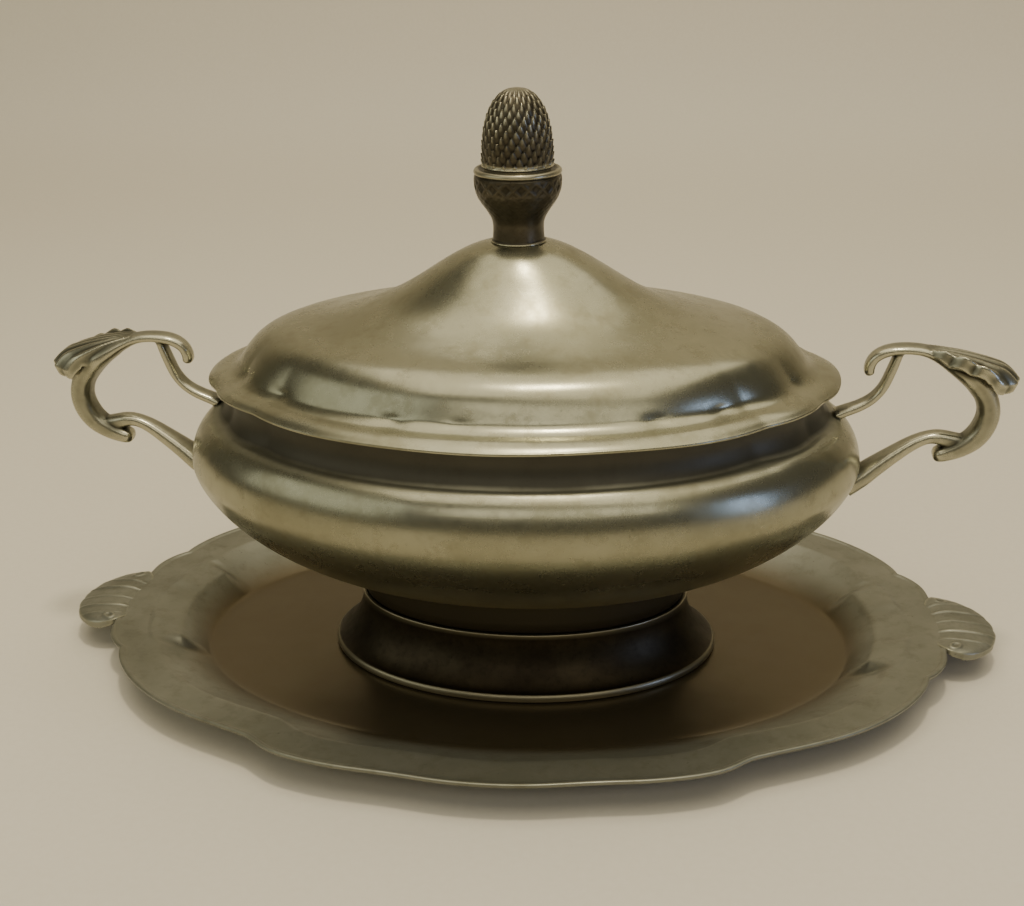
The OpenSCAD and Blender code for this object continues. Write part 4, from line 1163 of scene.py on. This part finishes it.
# %% [markdown]
# ## The nut's wear
# The tips of the scales are brighter on the upper part of the nut: partly the rubbing of fingers, partly a
# painted highlight where the light from above falls. Low down they stay dark, and so does the foot ring in
# the cup.

# %% The finished nut
def tips_rubbed_and_highlit(z):
    """How bright the tips are at each height."""
    u = (z - ACORN_Z) / NUT_HIGH
    # Brighter towards the top: rubbing, and a painted highlight from the light above
    rubbed = 0.25 + 0.75 * np.clip((u - 0.3) / 0.35, 0, 1) - 0.5 * np.clip((u - 0.9) / 0.08, 0, 1)
    return np.where(u < PLAIN_FOOT, 0.1, rubbed)


mark_wear(nut, rounds=40, reach_mm=0.45, rubbed=tips_rubbed_and_highlit)
seat(nut, "lid", "finial_acorn", dark_pewter)

# %% [markdown]
# ## What the lid hides
# The locating ring under the flange and the stud, washer and nut that hold the knob have the right
# shape already, so their solids stay and only get a finish.

# %% Hidden pieces
# Turned and then browned by damp: a dull yellow with small soft glints
brass = old_metal(
    "brass_turned_tarnished", "#b08d4a", "#96763a", "#6f5628", "#33270f",
    rough=(0.3, 0.45), cloud_mm=6, wave_mm=3, wave_deep_mm=0.03)
for node, finish in {
    "lid_locating_ring": satin_pewter, "finial_stud": brass, "finial_washer": brass, "finial_nut": brass,
}.items():
    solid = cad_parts[node]
    solid.data.materials.clear()
    solid.data.materials.append(finish)
print("hidden pieces keep their solids")

# %% [markdown]
# ## Floor
# Satin metal looks like what it reflects, so the set matters as much as the finish. A sheet of warm pale
# paper lies under the tureen and sweeps up behind it, so no horizon cuts through the reflections.

# %% Floor
FIBRE_MM, SWEEP_HALF_WIDE = 3, 2500
# Matt paper with a faint fibre: no gloss, so that only the metal shines
paper = bpy.data.materials.new("matt_paper_sweep")
paper.use_nodes = True
paper_shader = paper.node_tree.nodes["Principled BSDF"]
fibre = add_node(paper, "TexNoise", {
    "Vector": add_node(paper, "TexCoord").outputs["Object"], "Scale": per_metre(FIBRE_MM), "Detail": 6.0})
shade = add_node(paper, "Mix", {
    SHARE: fibre.outputs["Fac"], COLOUR_A: linear("#dbd4c4"), COLOUR_B: linear("#d5cdbb")}, data_type="RGBA")
paper.node_tree.links.new(shade.outputs[MIXED_COLOUR], paper_shader.inputs["Base Color"])
paper_shader.inputs["Roughness"].default_value = 0.85

sweep_line = smoothed([(-1600, 0, 0), (700, 0, 0), (1100, 0, 0), (1100, 400, 0), (1100, 1600, 0)])
sweep_points = [(x, y, z) for y, z, _ in sweep_line for x in (-SWEEP_HALF_WIDE, SWEEP_HALF_WIDE)]
sweep_faces = [(2 * k, 2 * k + 1, 2 * k + 3, 2 * k + 2) for k in range(len(sweep_line) - 1)]
floor = mesh_piece("floor", sweep_points, sweep_faces)
floor.data.materials.append(paper)
print("floor of", len(sweep_faces), "strips")

# %% [markdown]
# ## Lights
# A broad soft ceiling gives the shapes their shading, and one small lamp below it draws the highlights on
# lid and shoulder. A wide weak light in front stands for the room and brightens the faces towards us.
# Another fills from the left, and a narrow cool one on the right adds the small blue glints. A dim world
# colour stands for the walls.

# %% Lights
TABLE_MIDDLE = (0, 0, 0.1)


def soft_light(name, place, width, height, watts, colour, aim=TABLE_MIDDLE):
    """A rectangular lamp, in metres and watts."""
    lamp = bpy.data.lights.new(name, "AREA")
    lamp.shape = "RECTANGLE"
    lamp.size, lamp.size_y, lamp.energy = width, height, watts
    lamp.color = linear(colour)[:3]
    holder = bpy.data.objects.new(name, lamp)
    holder.location = place
    holder.rotation_euler = (Vector(aim) - Vector(place)).to_track_quat("-Z", "Y").to_euler()
    bpy.context.scene.collection.objects.link(holder)


soft_light("ceiling", (0.1, -0.1, 1.6), width=2.2, height=2.1, watts=25, colour="#fff5dc", aim=(0, -0.1, 0.1))
soft_light("lamp_above", (0.08, -0.18, 1.4), width=0.12, height=0.12, watts=6, colour="#fff3d8")
soft_light("room_in_front", (0.3, -1.7, 1.2), width=2.2, height=0.6, watts=7, colour="#faf3de")
soft_light("fill_left", (-1.2, -0.7, 0.7), width=1.4, height=0.8, watts=4, colour="#f2f4e4")
soft_light("window_right", (1.0, -0.5, 0.3), width=0.25, height=0.4, watts=1.4, colour="#a9c4ff")
world = bpy.data.worlds.new("studio")
world.use_nodes = True
world.node_tree.nodes["Background"].inputs["Color"].default_value = linear("#9c9883")
world.node_tree.nodes["Background"].inputs["Strength"].default_value = 0.26
bpy.context.scene.world = world

# %% [markdown]
# ## Camera
# The eye is a little right of the middle and looks down on the lid, from about half a metre. The lens
# follows from a focal length in pixels, and the camera is rolled by one degree, as a hand-held one is.

# %% Camera
IMAGE_WIDTH, FOCAL_PX, SENSOR = 1024, 1480, 36.0
camera_data = bpy.data.cameras.new("camera")
camera_data.sensor_width = SENSOR
camera_data.lens = FOCAL_PX / IMAGE_WIDTH * SENSOR
camera = bpy.data.objects.new("camera", camera_data)
azimuth, distance, high, roll = math.radians(6), 0.55, 0.302, math.radians(-1)
eye = Vector((distance * math.sin(azimuth), -distance * math.cos(azimuth), high))
look_at = Vector((-0.004, 0, 0.084))
facing = (look_at - eye).to_track_quat("-Z", "Y").to_matrix().to_4x4()
camera.matrix_world = Matrix.Translation(eye) @ facing @ Matrix.Rotation(roll, 4, "Z")
bpy.context.scene.collection.objects.link(camera)
bpy.context.scene.camera = camera
print("lens", round(camera_data.lens, 2), "mm")
